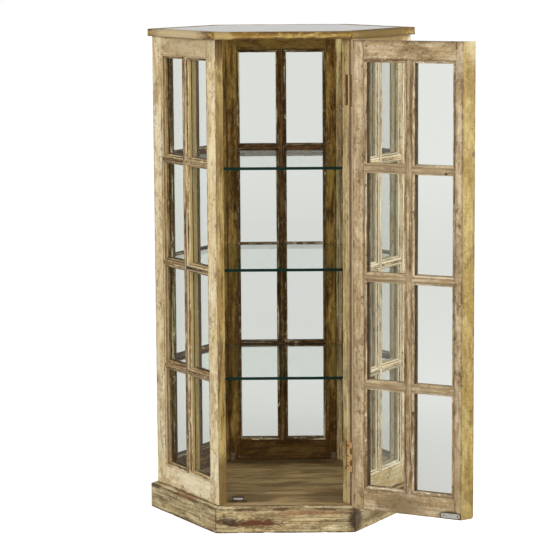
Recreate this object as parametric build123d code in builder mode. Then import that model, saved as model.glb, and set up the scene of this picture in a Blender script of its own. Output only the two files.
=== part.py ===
"""Hexagonal glass display cabinet made of six old window sashes, in millimetres.

The cabinet stands on the XY plane with its axis on Z and its front towards -Y.
Every sash is drawn once, standing closed at the front, and is then turned to its side.
The front sash is the door. It is drawn closed and then swung open about its hinge pins.
"""

from build123d import *
from math import cos, radians, sin, tan
import os

os.makedirs("parts", exist_ok=True)

# The six-sided plan
side_count = 6
corner_turn = 360.0 / side_count
mitre = corner_turn / 2
body_side = 450.0               # outer width of one sash, corner to corner

# Heights
plinth_height = 92.0
sash_height = 1582.0
rim_thickness = 26.0

# Sash joinery
sash_thickness = 44.0
stile_face = 48.5               # stile seen from inside, mitre to sight line
hinge_stile_face = 50.0         # the same on the door, hinge side
free_stile_face = 36.0          # the same on the door, opening side
top_rail_face = 74.0
bottom_rail_face = 83.0
upright_bar_face = 39.0
cross_bar_face = 33.0
row_count = 4

# Mouldings, glass and beads of a sash
quirk = 2.0                     # step between the flat face and the round
moulding_width = 11.0
bevel_width = 9.0               # slope of the moulding down towards the glass
glass_setback = 21.0            # outer face to glass
pane_thickness = 3.0
rebate_lap = 9.5                # how far the rebate reaches behind the sight line
pane_play = 1.5
bead_fall = 4.0                 # the bead slopes this much towards the glass

# Mortise and tenon joints
tenon_set = 15.0                # outer face to tenon
tenon_thickness = 14.0
tenon_cover = 8.0               # wood between the tenon's tip and the mitre
tenon_haunch = 12.0             # end of the stile to the tenon
joint_play = 0.2

# Plinth and floor
plinth_overhang = 23.0
plinth_fall = 8.0               # the ledge slopes down this much to its outer edge
plinth_corner_cut = 3.0
floor_thickness = 20.0
block_reach = 60.0              # corner block, along each board
block_lift = 2.0                # corner block above the ground

# Top rim and its glass
rim_overhang = 18.0
rim_width = 58.0
rim_corner_cut = 9.0
rim_edge_bevel = 2.5
rim_rebate_width = 10.0
top_glass_thickness = 6.0
top_glass_play = 1.0
top_glass_sink = 0.5            # glass below the rim's top face

# Shelves and their rests
shelf_thickness = 10.0
shelf_play = 1.0
shelf_drops = {"lower": 5.0, "middle": -2.5, "upper": 17.0}   # cross bar's middle to underside
shelf_corner_radius = 6.0
rest_reach = 13.0               # shelf rest, out from the wood
rest_drop = 6.0                 # shelf rest, down the wood
rest_width = 16.0
rest_thickness = 1.6
rest_inset = 8.0                # inner corner of the cabinet to the rest

# Door clearances and travel
door_gap = 2.0
open_angle = 152.2              # how far the door stands open

# Butt hinges
hinge_rise = 167.0              # foot of the sashes to the middle of the lower hinge
hinge_drop = 170.0              # head of the sashes to the middle of the upper hinge
hinge_length = 102.0
leaf_width = 29.0
leaf_thickness = 2.5
leaf_play = 0.3                 # between the closed leaves
recess_play = 0.2
knuckle_count = 5
knuckle_gap = 0.4
knuckle_radius = 5.5
pin_stand_off = 6.4             # cabinet corner to the pin's axis
pin_radius = 3.0
pin_play = 0.05
pin_tip_radius = 4.2
pin_tip_height = 2.5
pin_tip_bevel = 1.2

# Magnetic catch, strike plate and the angle brackets on the floor
catch_inset = 39.6              # inner corner of the cabinet to the middle of the catch
catch_width = 40.0
catch_depth = 17.0
catch_height = 19.0
catch_ear = 11.0
catch_ear_thickness = 3.0
catch_corner_radius = 1.5
catch_gap = 0.5                 # strike plate to the magnet
catch_lip = 1.0                 # magnet proud of its housing
magnet_width = 32.0
magnet_height = 8.0
magnet_depth = 12.0
pole_thickness = 1.6
strike_length = 74.0
strike_height = 21.0
strike_thickness = 1.6
strike_lift = 1.5               # door's bottom edge to the plate
bracket_leg = 26.0
bracket_width = 15.0
bracket_thickness = 1.8
bracket_corner_gap = 4.0

# Sizes that follow from the ones above
inner_side = body_side - 2 * sash_thickness * tan(radians(mitre))
body_apothem = body_side / 2 / tan(radians(mitre))
inner_apothem = body_apothem - sash_thickness
rim_bottom = plinth_height + sash_height
rim_top = rim_bottom + rim_thickness
bead_depth = sash_thickness - glass_setback - pane_thickness
hinge_middle = door_gap / 2
hinge_heights = (plinth_height + hinge_rise, rim_bottom - hinge_drop)
catch_centre = catch_inset - inner_side / 2
knuckle_length = (hinge_length - (knuckle_count - 1) * knuckle_gap) / knuckle_count
knuckle_pitch = knuckle_length + knuckle_gap


def corner_at(apothem, angle):
    """Return the corner of a hexagon of this apothem, at an angle from +X."""
    radius = apothem / cos(radians(mitre))
    return (radius * cos(radians(angle)), radius * sin(radians(angle)))


# The hinge is drawn in plan at the front right corner. X runs inwards along the mitre,
# the frame is on the side of -Y and the closed door on the side of +Y.
front_right = corner_at(body_apothem, -corner_turn)
hinge_plan = Plane(
    origin=(front_right[0], front_right[1], 0),
    x_dir=(-cos(radians(corner_turn)), sin(radians(corner_turn)), 0),
    z_dir=(0, 0, 1),
)
pin_point = hinge_plan.from_local_coords((-pin_stand_off, hinge_middle, 0))
pin_axis = Axis(pin_point, (0, 0, 1))


def write(shape, name):
    """Label a finished piece and write its file."""
    shape.label = name
    export_step(shape, f"parts/{name}.step")


def group(solids, name):
    """Write several separate solids as one node."""
    write(Compound(children=[piece for solid in solids for piece in solid.solids()]), name)


def turned(shape, places):
    """Turn a piece from the front to another side of the cabinet."""
    return shape.rotate(Axis.Z, corner_turn * places)


def swung(shape):
    """Swing a piece of the closed door to where the door stands open."""
    return shape.rotate(pin_axis, open_angle)


# Sight lines of a sash, and the sash itself

def sash_columns(edge_gap, left_face, right_face):
    """Return the left and right sight lines of the two columns of panes."""
    half = inner_side / 2 - edge_gap / cos(radians(mitre))
    left = left_face - half
    right = half - right_face
    pane = (right - left - upright_bar_face) / 2
    return [(left, left + pane), (right - pane, right)]


def sash_rows():
    """Return the lower and upper sight lines of the rows of panes."""
    low = plinth_height + bottom_rail_face
    high = rim_bottom - top_rail_face
    pane = (high - low - (row_count - 1) * cross_bar_face) / row_count
    pitch = pane + cross_bar_face
    return [(low + i * pitch, low + i * pitch + pane) for i in range(row_count)]


rows = sash_rows()
fixed_columns = sash_columns(0, stile_face, stile_face)
door_columns = sash_columns(door_gap, free_stile_face, hinge_stile_face)
bar_middles = [(lower[1] + upper[0]) / 2 for lower, upper in zip(rows, rows[1:])]
shelf_heights = {
    level: middle - drop for (level, drop), middle in zip(shelf_drops.items(), bar_middles)
}


def sash_blank(edge_gap, foot, head, columns):
    """Return a whole mitred sash with its moulded panes and glazing rebates, not yet split."""
    shift = edge_gap / cos(radians(mitre))
    outer = body_side / 2 - shift
    inner = inner_side / 2 - shift
    with BuildPart() as blank:
        with BuildSketch(Plane.XY.offset(foot)):
            with BuildLine():
                Polyline(
                    (-outer, -body_apothem),
                    (outer, -body_apothem),
                    (inner, -inner_apothem),
                    (-inner, -inner_apothem),
                    close=True,
                )
            make_face()
        extrude(amount=head - foot)
        cuts = (
            (0, sash_thickness, 0),
            (0, quirk, moulding_width),
            (glass_setback, sash_thickness, rebate_lap),
        )
        for start, end, margin in cuts:
            with BuildSketch(Plane.XZ.offset(body_apothem - start)):
                for left, right in columns:
                    for low, high in rows:
                        with Locations(((left + right) / 2, (low + high) / 2)):
                            Rectangle(right - left + 2 * margin, high - low + 2 * margin)
            extrude(amount=start - end, mode=Mode.SUBTRACT)
        ledges = blank.faces().filter_by(Axis.Y).group_by(Axis.Y)[1]
        chamfer([edge for ledge in ledges for edge in ledge.inner_wires()[0].edges()], bevel_width)
    return blank.part


def cut_from(blank, outline):
    """Return the piece of a sash that lies inside an outline drawn on its face."""
    with BuildPart() as piece:
        add(blank)
        with BuildSketch(Plane.XZ.offset(body_apothem)):
            with BuildLine():
                Polyline(*outline, close=True)
            make_face()
        extrude(amount=-sash_thickness, mode=Mode.INTERSECT)
    return piece.part


def joint_lines(side):
    """Return the stepped line up a stile or bar, where rails and bars shoulder into it.

    A side of 1 steps towards +X and a side of -1 towards -X, from a sight line at zero.
    """
    line = []
    for lower, upper in zip(rows, rows[1:]):
        line += [
            (0, lower[1]),
            (side * moulding_width, lower[1] + moulding_width),
            (side * moulding_width, upper[0] - moulding_width),
            (0, upper[0]),
        ]
    return line


def stile_outline(sight, side):
    """Return the outline of a stile whose mitre is on this side of its sight line."""
    shoulder = sight + side * moulding_width
    far = side * body_side
    low = rows[0][0]
    high = rows[-1][1]
    steps = [(sight + x, z) for x, z in joint_lines(side)]
    return [
        (far, plinth_height),
        (shoulder, plinth_height),
        (shoulder, low - moulding_width),
        (sight, low),
        *steps,
        (sight, high),
        (shoulder, high + moulding_width),
        (shoulder, rim_bottom),
        (far, rim_bottom),
    ]


def rail_outline(columns, sight, end):
    """Return the outline of the rail that lies between a sight line and an end of the sash."""
    step = moulding_width if end > sight else -moulding_width
    left, bar_left = columns[0]
    bar_right, right = columns[1]
    return [
        (left - moulding_width, end),
        (left - moulding_width, sight + step),
        (left, sight),
        (bar_left, sight),
        (bar_left + moulding_width, sight + step),
        (bar_right - moulding_width, sight + step),
        (bar_right, sight),
        (right, sight),
        (right + moulding_width, sight + step),
        (right + moulding_width, end),
    ]


def upright_bar_outline(columns):
    """Return the outline of the upright bar, which runs from rail to rail."""
    left = columns[0][1]
    right = columns[1][0]
    low = rows[0][0]
    high = rows[-1][1]
    return [
        (left + moulding_width, low - moulding_width),
        (right - moulding_width, low - moulding_width),
        (right, low),
        *[(right + x, z) for x, z in joint_lines(-1)],
        (right, high),
        (right - moulding_width, high + moulding_width),
        (left + moulding_width, high + moulding_width),
        (left, high),
        *[(left + x, z) for x, z in reversed(joint_lines(1))],
        (left, low),
    ]


def cross_bar_outline(left, right, low, high):
    """Return the outline of a short bar between two panes of one column."""
    return [
        (left, low),
        (right, low),
        (right + moulding_width, low + moulding_width),
        (right + moulding_width, high - moulding_width),
        (right, high),
        (left, high),
        (left - moulding_width, high - moulding_width),
        (left - moulding_width, low + moulding_width),
    ]


def tenon_box(shoulder, side, edge_gap, low, high, play):
    """Return a tenon beyond a shoulder, or its mortise where play is added."""
    tip = body_side / 2 - edge_gap / cos(radians(mitre))
    tip -= (tenon_set + tenon_thickness) * tan(radians(mitre)) + tenon_cover
    length = tip - side * shoulder + play
    with BuildPart() as tenon:
        with BuildSketch(Plane.XZ.offset(body_apothem - tenon_set + play)):
            with Locations((shoulder + side * length / 2, (low + high) / 2)):
                Rectangle(length, high - low + 2 * play)
        extrude(amount=-tenon_thickness - 2 * play)
    return tenon.part


def tenon_spans(foot, head):
    """Return the heights between which the tenons of the lower and the upper rail lie."""
    return [
        (foot + tenon_haunch, rows[0][0] - moulding_width),
        (rows[-1][1] + moulding_width, head - tenon_haunch),
    ]


def make_stile(blank, columns, side, edge_gap, foot, head):
    """Return the left stile, where side is -1, or the right stile, where it is 1."""
    sight = columns[0][0] if side < 0 else columns[1][1]
    shoulder = sight + side * moulding_width
    with BuildPart() as stile:
        add(cut_from(blank, stile_outline(sight, side)))
        for low, high in tenon_spans(foot, head):
            add(tenon_box(shoulder, side, edge_gap, low, high, joint_play), mode=Mode.SUBTRACT)
    return stile.part


def make_rail(blank, columns, edge_gap, foot, head, is_top):
    """Return the top or the bottom rail with a tenon at each end."""
    sight, end = (rows[-1][1], rim_bottom) if is_top else (rows[0][0], plinth_height)
    low, high = tenon_spans(foot, head)[1 if is_top else 0]
    with BuildPart() as rail:
        add(cut_from(blank, rail_outline(columns, sight, end)))
        for side, line in ((-1, columns[0][0]), (1, columns[1][1])):
            add(tenon_box(line + side * moulding_width, side, edge_gap, low, high, 0))
    return rail.part


def make_bars(blank, columns):
    """Return the upright bar and the short cross bars."""
    bars = [cut_from(blank, upright_bar_outline(columns))]
    for left, right in columns:
        for lower, upper in zip(rows, rows[1:]):
            bars.append(cut_from(blank, cross_bar_outline(left, right, lower[1], upper[0])))
    return bars


def make_panes(columns):
    """Return the panes of glass of one sash."""
    margin = rebate_lap - pane_play
    panes = []
    for left, right in columns:
        for low, high in rows:
            with BuildPart() as pane:
                with BuildSketch(Plane.XZ.offset(body_apothem - glass_setback)):
                    with Locations(((left + right) / 2, (low + high) / 2)):
                        Rectangle(right - left + 2 * margin, high - low + 2 * margin)
                extrude(amount=-pane_thickness)
            panes.append(pane.part)
    return panes


def make_bead(start, end, out):
    """Return one bead with mitred ends, along the sight line from start to end.

    out is the step from the sight line to the wall of the rebate.
    """
    along = (Vector(*end) - Vector(*start)).normalized() * rebate_lap
    step = Vector(*out) * rebate_lap
    corners = [Vector(*start), Vector(*end), Vector(*end) + along + step, Vector(*start) - along + step]
    with BuildPart() as bead:
        with BuildSketch(Plane.XZ.offset(inner_apothem + bead_depth)):
            with BuildLine():
                Polyline(*[(point.X, point.Y) for point in corners], close=True)
            make_face()
        extrude(amount=-bead_depth)
        room_face = bead.faces().sort_by(Axis.Y)[-1]
        middle = (Vector(*start) + Vector(*end)) * 0.5
        sight_edge = room_face.edges().sort_by_distance((middle.X, -inner_apothem, middle.Y))[0]
        chamfer(sight_edge, rebate_lap - joint_play, bead_fall, reference=room_face)
    return bead.part


def make_beads(columns):
    """Return the four mitred beads of every pane."""
    beads = []
    for left, right in columns:
        for low, high in rows:
            beads += [
                make_bead((left, low), (right, low), (0, -1)),
                make_bead((right, low), (right, high), (1, 0)),
                make_bead((right, high), (left, high), (0, 1)),
                make_bead((left, high), (left, low), (-1, 0)),
            ]
    return beads


# Hinges

def make_leaf(side, height, knuckles):
    """Return a hinge leaf, of the frame where side is -1, or of the door where it is 1."""
    base = hinge_plan.offset(height - hinge_length / 2)
    middle = hinge_middle + side * (leaf_play + leaf_thickness) / 2
    with BuildPart() as leaf:
        with BuildSketch(base):
            with Locations((leaf_width / 2, middle)):
                Rectangle(leaf_width, leaf_thickness)
        extrude(amount=hinge_length)
        for i in knuckles:
            with BuildSketch(base.offset(i * knuckle_pitch)):
                with Locations((-pin_stand_off, hinge_middle)):
                    Circle(knuckle_radius)
                with Locations((-pin_stand_off / 2, middle)):
                    Rectangle(pin_stand_off, leaf_thickness)
            extrude(amount=knuckle_length)
        with BuildSketch(base):
            with Locations((-pin_stand_off, hinge_middle)):
                Circle(pin_radius + pin_play)
        extrude(amount=hinge_length, mode=Mode.SUBTRACT)
    return leaf.part


def make_hinge_pin(height):
    """Return a hinge pin with a bevelled tip at each end."""
    base = hinge_plan.offset(height - hinge_length / 2)
    with BuildPart() as pin:
        with BuildSketch(base):
            with Locations((-pin_stand_off, hinge_middle)):
                Circle(pin_radius)
        extrude(amount=hinge_length)
        for plane, amount in ((base, -pin_tip_height), (base.offset(hinge_length), pin_tip_height)):
            with BuildSketch(plane):
                with Locations((-pin_stand_off, hinge_middle)):
                    Circle(pin_tip_radius)
            extrude(amount=amount)
        ends = [pin.faces().sort_by(Axis.Z)[0], pin.faces().sort_by(Axis.Z)[-1]]
        chamfer([edge for face in ends for edge in face.edges()], pin_tip_bevel)
    return pin.part


def with_leaf_recess(shape, side):
    """Return a stile with its two leaf recesses sunk into the mitre."""
    far = hinge_middle + side * (leaf_play / 2 + leaf_thickness)
    with BuildPart() as sunk:
        add(shape)
        for height in hinge_heights:
            base = hinge_plan.offset(height - hinge_length / 2 - recess_play)
            with BuildSketch(base):
                with Locations(((leaf_width + recess_play) / 2, hinge_middle + (far - hinge_middle) / 2)):
                    Rectangle(leaf_width + recess_play, abs(far - hinge_middle))
            extrude(amount=hinge_length + 2 * recess_play, mode=Mode.SUBTRACT)
    return sunk.part


frame_knuckles = range(0, knuckle_count, 2)
door_knuckles = range(1, knuckle_count, 2)


# Shelf rests: bent steel angles on the stiles, one in each inner corner under every shelf

def make_rests(side):
    """Return the rests that one stile of a sash at the front would carry."""
    middle = side * (inner_side / 2 - rest_inset - rest_width / 2)
    face = -inner_apothem
    rests = []
    for seat in shelf_heights.values():
        with BuildPart() as rest:
            with BuildSketch(Plane.YZ.offset(middle - rest_width / 2)):
                with BuildLine():
                    Polyline(
                        (face, seat),
                        (face + rest_reach, seat),
                        (face + rest_reach, seat - rest_thickness),
                        (face + rest_thickness, seat - rest_thickness),
                        (face + rest_thickness, seat - rest_drop),
                        (face, seat - rest_drop),
                        close=True,
                    )
                make_face()
            extrude(amount=rest_width)
        rests.append(rest.part)
    return rests


# The five fixed sashes

fixed_names = ["right_front", "right_back", "back", "left_back", "left_front"]
fixed_blank = sash_blank(0, plinth_height, rim_bottom, fixed_columns)
fixed_left = make_stile(fixed_blank, fixed_columns, -1, 0, plinth_height, rim_bottom)
fixed_right = make_stile(fixed_blank, fixed_columns, 1, 0, plinth_height, rim_bottom)
fixed_top = make_rail(fixed_blank, fixed_columns, 0, plinth_height, rim_bottom, True)
fixed_bottom = make_rail(fixed_blank, fixed_columns, 0, plinth_height, rim_bottom, False)
fixed_bars = make_bars(fixed_blank, fixed_columns)
fixed_panes = make_panes(fixed_columns)
fixed_beads = make_beads(fixed_columns)

for places, name in enumerate(fixed_names, start=1):
    left_stile = turned(fixed_left, places)
    if name == "right_front":
        left_stile = with_leaf_recess(left_stile, -1)
    write(left_stile, f"{name}_left_stile")
    write(turned(fixed_right, places), f"{name}_right_stile")
    write(turned(fixed_top, places), f"{name}_top_rail")
    write(turned(fixed_bottom, places), f"{name}_bottom_rail")
    group([turned(bar, places) for bar in fixed_bars], f"{name}_glazing_bars")
    group([turned(pane, places) for pane in fixed_panes], f"{name}_panes")
    group([turned(bead, places) for bead in fixed_beads], f"{name}_beads")

# The door, drawn closed. Its strike plate lies on its inner face, at the opening side.

door_foot = plinth_height + door_gap
door_head = rim_bottom - door_gap
strike_height_middle = door_foot + strike_lift + strike_height / 2
strike_face = Plane(
    origin=(catch_centre, -inner_apothem, strike_height_middle),
    x_dir=(-1, 0, 0),
    z_dir=(0, 1, 0),
)
with BuildPart() as strike_plate:
    with BuildSketch(strike_face):
        SlotOverall(strike_length, strike_height)
    extrude(amount=strike_thickness)

door_blank = sash_blank(door_gap, door_foot, door_head, door_columns)
door_left = make_stile(door_blank, door_columns, -1, door_gap, door_foot, door_head)
door_right = make_stile(door_blank, door_columns, 1, door_gap, door_foot, door_head)
door_right = with_leaf_recess(door_right, 1)
door_top = make_rail(door_blank, door_columns, door_gap, door_foot, door_head, True)
door_bottom = make_rail(door_blank, door_columns, door_gap, door_foot, door_head, False)

write(swung(door_left), "door_left_stile")
write(swung(door_right), "door_right_stile")
write(swung(door_top), "door_top_rail")
write(swung(door_bottom), "door_bottom_rail")
group([swung(bar) for bar in make_bars(door_blank, door_columns)], "door_glazing_bars")
group([swung(pane) for pane in make_panes(door_columns)], "door_panes")
group([swung(bead) for bead in make_beads(door_columns)], "door_beads")
write(swung(strike_plate.part), "strike_plate")

# Hinges

frame_leaves = []
door_leaves = []
hinge_pins = []
for height in hinge_heights:
    frame_leaves.append(make_leaf(-1, height, frame_knuckles))
    door_leaves.append(swung(make_leaf(1, height, door_knuckles)))
    hinge_pins.append(make_hinge_pin(height))
group(frame_leaves, "hinge_frame_leaves")
group(door_leaves, "hinge_door_leaves")
group(hinge_pins, "hinge_pins")

# Plinth: six mitred boards with a sloping ledge, a floor board and corner blocks

plinth_apothem = body_apothem + plinth_overhang


def make_mitred_board(profile):
    """Return a board of this profile along the front, mitred at both ends.

    The profile is given as (distance from the cabinet's axis, height) points.
    """
    with BuildPart() as board:
        with BuildSketch(Plane.YZ.offset(-body_side)):
            with BuildLine():
                Polyline(*[(-distance, height) for distance, height in profile], close=True)
            make_face()
        extrude(amount=2 * body_side)
        for side in (-1, 1):
            outward = (side * cos(radians(mitre)), sin(radians(mitre)), 0)
            split(bisect_by=Plane(origin=(0, 0, 0), z_dir=outward), keep=Keep.BOTTOM)
    return board.part


plinth_board = make_mitred_board(
    [
        (body_apothem, 0),
        (plinth_apothem, 0),
        (plinth_apothem, plinth_height - plinth_fall),
        (body_apothem, plinth_height),
    ]
)
with BuildPart() as rounded_board:
    add(plinth_board)
    ends = rounded_board.edges().filter_by(Axis.Z).group_by(Axis.Y)[0]
    chamfer(ends, plinth_corner_cut)
group([turned(rounded_board.part, i) for i in range(side_count)], "plinth_boards")

catch_back = -inner_apothem + strike_thickness + catch_gap + catch_lip
catch_floor = Plane.XY.offset(plinth_height)

with BuildPart() as floor_board:
    with BuildSketch(Plane.XY.offset(plinth_height - floor_thickness)):
        RegularPolygon(body_apothem, side_count, major_radius=False)
    extrude(amount=floor_thickness)
write(floor_board.part, "floor_board")

block_corner = Vector(*corner_at(body_apothem, 0))
toward_left = Vector(*corner_at(body_apothem, corner_turn)) - block_corner
toward_right = Vector(*corner_at(body_apothem, -corner_turn)) - block_corner
block_ends = [block_corner + way.normalized() * block_reach for way in (toward_left, toward_right)]
with BuildPart() as corner_block:
    with BuildSketch(Plane.XY.offset(block_lift)):
        with BuildLine():
            Polyline(*[(point.X, point.Y) for point in (block_corner, *block_ends)], close=True)
        make_face()
    extrude(amount=plinth_height - floor_thickness - block_lift)
group([turned(corner_block.part, i) for i in range(side_count)], "plinth_corner_blocks")

# Top: six mitred rim rails, rebated for one sheet of glass

rim_apothem = body_apothem + rim_overhang
rim_opening = rim_apothem - rim_width
rim_rebate = rim_opening + rim_rebate_width
rim_seat = rim_top - top_glass_thickness - top_glass_sink
rim_rail = make_mitred_board(
    [
        (rim_opening, rim_bottom),
        (rim_apothem, rim_bottom),
        (rim_apothem, rim_top),
        (rim_rebate, rim_top),
        (rim_rebate, rim_seat),
        (rim_opening, rim_seat),
    ]
)
with BuildPart() as worn_rail:
    add(rim_rail)
    ends = worn_rail.edges().filter_by(Axis.Z).group_by(Axis.Y)[0]
    chamfer(ends, rim_corner_cut)
    front = worn_rail.faces().sort_by(Axis.Y)[0]
    chamfer(front.edges().filter_by(Axis.X), rim_edge_bevel)
group([turned(worn_rail.part, i) for i in range(side_count)], "top_rim_rails")

with BuildPart() as top_glass:
    with BuildSketch(Plane.XY.offset(rim_seat)):
        RegularPolygon(rim_rebate - top_glass_play, side_count, major_radius=False)
    extrude(amount=top_glass_thickness)
write(top_glass.part, "top_glass")

# Shelves and their rests

for level, height in shelf_heights.items():
    with BuildPart() as shelf:
        with BuildSketch(Plane.XY.offset(height)) as shelf_plan:
            RegularPolygon(inner_apothem - shelf_play, side_count, major_radius=False)
            fillet(shelf_plan.vertices(), shelf_corner_radius)
        extrude(amount=shelf_thickness)
    write(shelf.part, f"{level}_shelf")

shelf_rests = [turned(rest, 1) for rest in make_rests(-1)]
for places in range(1, side_count):
    shelf_rests += [turned(rest, places) for rest in make_rests(1)]
group(shelf_rests, "shelf_rests")

# Magnetic catch, standing on the floor behind the closed door's strike plate

magnet_middle = strike_height_middle
with BuildPart() as catch_housing:
    with BuildSketch(catch_floor):
        with Locations((catch_centre, catch_back + catch_depth / 2)):
            Rectangle(catch_width, catch_depth)
    extrude(amount=catch_height)
    fillet(catch_housing.edges().filter_by(Axis.Z), catch_corner_radius)
    with BuildSketch(catch_floor):
        with Locations((catch_centre, catch_back + catch_depth / 2)):
            SlotOverall(catch_width + 2 * catch_ear, catch_depth)
    extrude(amount=catch_ear_thickness)
    with BuildSketch(Plane.XZ.offset(-catch_back)):
        with Locations((catch_centre, magnet_middle)):
            Rectangle(magnet_width, magnet_height)
    extrude(amount=catch_lip - magnet_depth, mode=Mode.SUBTRACT)
write(catch_housing.part, "catch_housing")

magnet_layers = (
    (-magnet_height / 2, pole_thickness, catch_lip),
    (pole_thickness - magnet_height / 2, magnet_height - 2 * pole_thickness, 0),
    (magnet_height / 2 - pole_thickness, pole_thickness, catch_lip),
)
magnet_pack = []
for low, thickness, proud in magnet_layers:
    with BuildPart() as layer:
        with BuildSketch(Plane.XZ.offset(-catch_back + proud)):
            with Locations((catch_centre, magnet_middle + low + thickness / 2)):
                Rectangle(magnet_width, thickness)
        extrude(amount=catch_lip - magnet_depth - proud)
    magnet_pack.append(layer.part)
group(magnet_pack, "catch_magnet")

# Angle brackets that tie the back sash to the floor

bracket_middle = inner_side / 2 - bracket_corner_gap - bracket_width / 2
brackets = []
for side in (-1, 1):
    with BuildPart() as bracket:
        with BuildSketch(Plane.YZ.offset(side * bracket_middle - bracket_width / 2)):
            with BuildLine():
                Polyline(
                    (inner_apothem, plinth_height),
                    (inner_apothem - bracket_leg, plinth_height),
                    (inner_apothem - bracket_leg, plinth_height + bracket_thickness),
                    (inner_apothem - bracket_thickness, plinth_height + bracket_thickness),
                    (inner_apothem - bracket_thickness, plinth_height + bracket_leg),
                    (inner_apothem, plinth_height + bracket_leg),
                    close=True,
                )
            make_face()
        extrude(amount=bracket_width)
    brackets.append(bracket.part)
group(brackets, "floor_brackets")
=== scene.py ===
"""Dress the six-sided glass display cabinet for its picture.

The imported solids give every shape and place. This script gives each board worn edges and
grain that follows it, glazes the sashes and the shelves, rusts the hinges, drives in the
screws, and sets up the studio and the camera. All lengths are in metres.
"""

import logging
import random
from collections.abc import Iterable, Iterator
from dataclasses import dataclass, replace
from enum import Enum, IntEnum
from math import atan2, cos, degrees, radians, sin

import bmesh
import bpy
from mathutils import Matrix, Vector, noise


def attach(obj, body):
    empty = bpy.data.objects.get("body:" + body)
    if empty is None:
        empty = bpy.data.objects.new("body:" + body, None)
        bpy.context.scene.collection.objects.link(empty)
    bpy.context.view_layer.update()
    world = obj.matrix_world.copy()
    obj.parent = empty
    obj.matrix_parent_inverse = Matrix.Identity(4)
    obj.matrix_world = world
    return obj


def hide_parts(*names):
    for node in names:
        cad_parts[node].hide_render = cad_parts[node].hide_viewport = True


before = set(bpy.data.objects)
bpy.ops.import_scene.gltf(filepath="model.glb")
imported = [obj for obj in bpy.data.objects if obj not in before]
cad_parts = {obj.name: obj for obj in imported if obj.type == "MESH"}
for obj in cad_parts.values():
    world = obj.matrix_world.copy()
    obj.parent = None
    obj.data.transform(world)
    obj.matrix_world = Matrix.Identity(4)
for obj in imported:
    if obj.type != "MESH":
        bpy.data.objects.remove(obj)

log = logging.getLogger("cabinet")
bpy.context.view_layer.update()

CABINET = "cabinet"
DOOR = "door_leaf"
DOOR_OPEN = 152.2  # degrees from closed, as photographed
PIN = (0.227334, -0.395754)  # the line that the door turns on
UP = Vector((0, 0, 1))
GRID = 1e6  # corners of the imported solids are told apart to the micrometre
WELD = 2e-6  # corners that are nearer are merged
FLAT = radians(0.4)  # faces that turn by less are made one
NEAR = 1e-4  # how near a level a corner counts as lying on it
CUT_REACH = 1e-7  # the same for the plane of a cut
SQUARE = 0.9  # how far a face looks along a direction to count as facing it
HARD_CREASE = 0.7  # corners of hardware that turn by more radians are eased

Tone = tuple[int, int, int]
Colour = tuple[float, float, float, float]
Triple = tuple[float, float, float]
Span = tuple[float, float]
Socket = bpy.types.NodeSocket
Work = bmesh.types.BMesh


def linear(tone: Tone) -> Colour:
    """Turn a tone as read on a screen into the colour that a shader takes.

    Args:
        tone: Red, green and blue from 0 to 255.

    Returns:
        The linear colour with an alpha of 1.
    """
    parts = [part / 255 for part in tone]
    return (*(p / 12.92 if p <= 0.04045 else ((p + 0.055) / 1.055) ** 2.4 for p in parts), 1.0)


# Nodes


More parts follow.
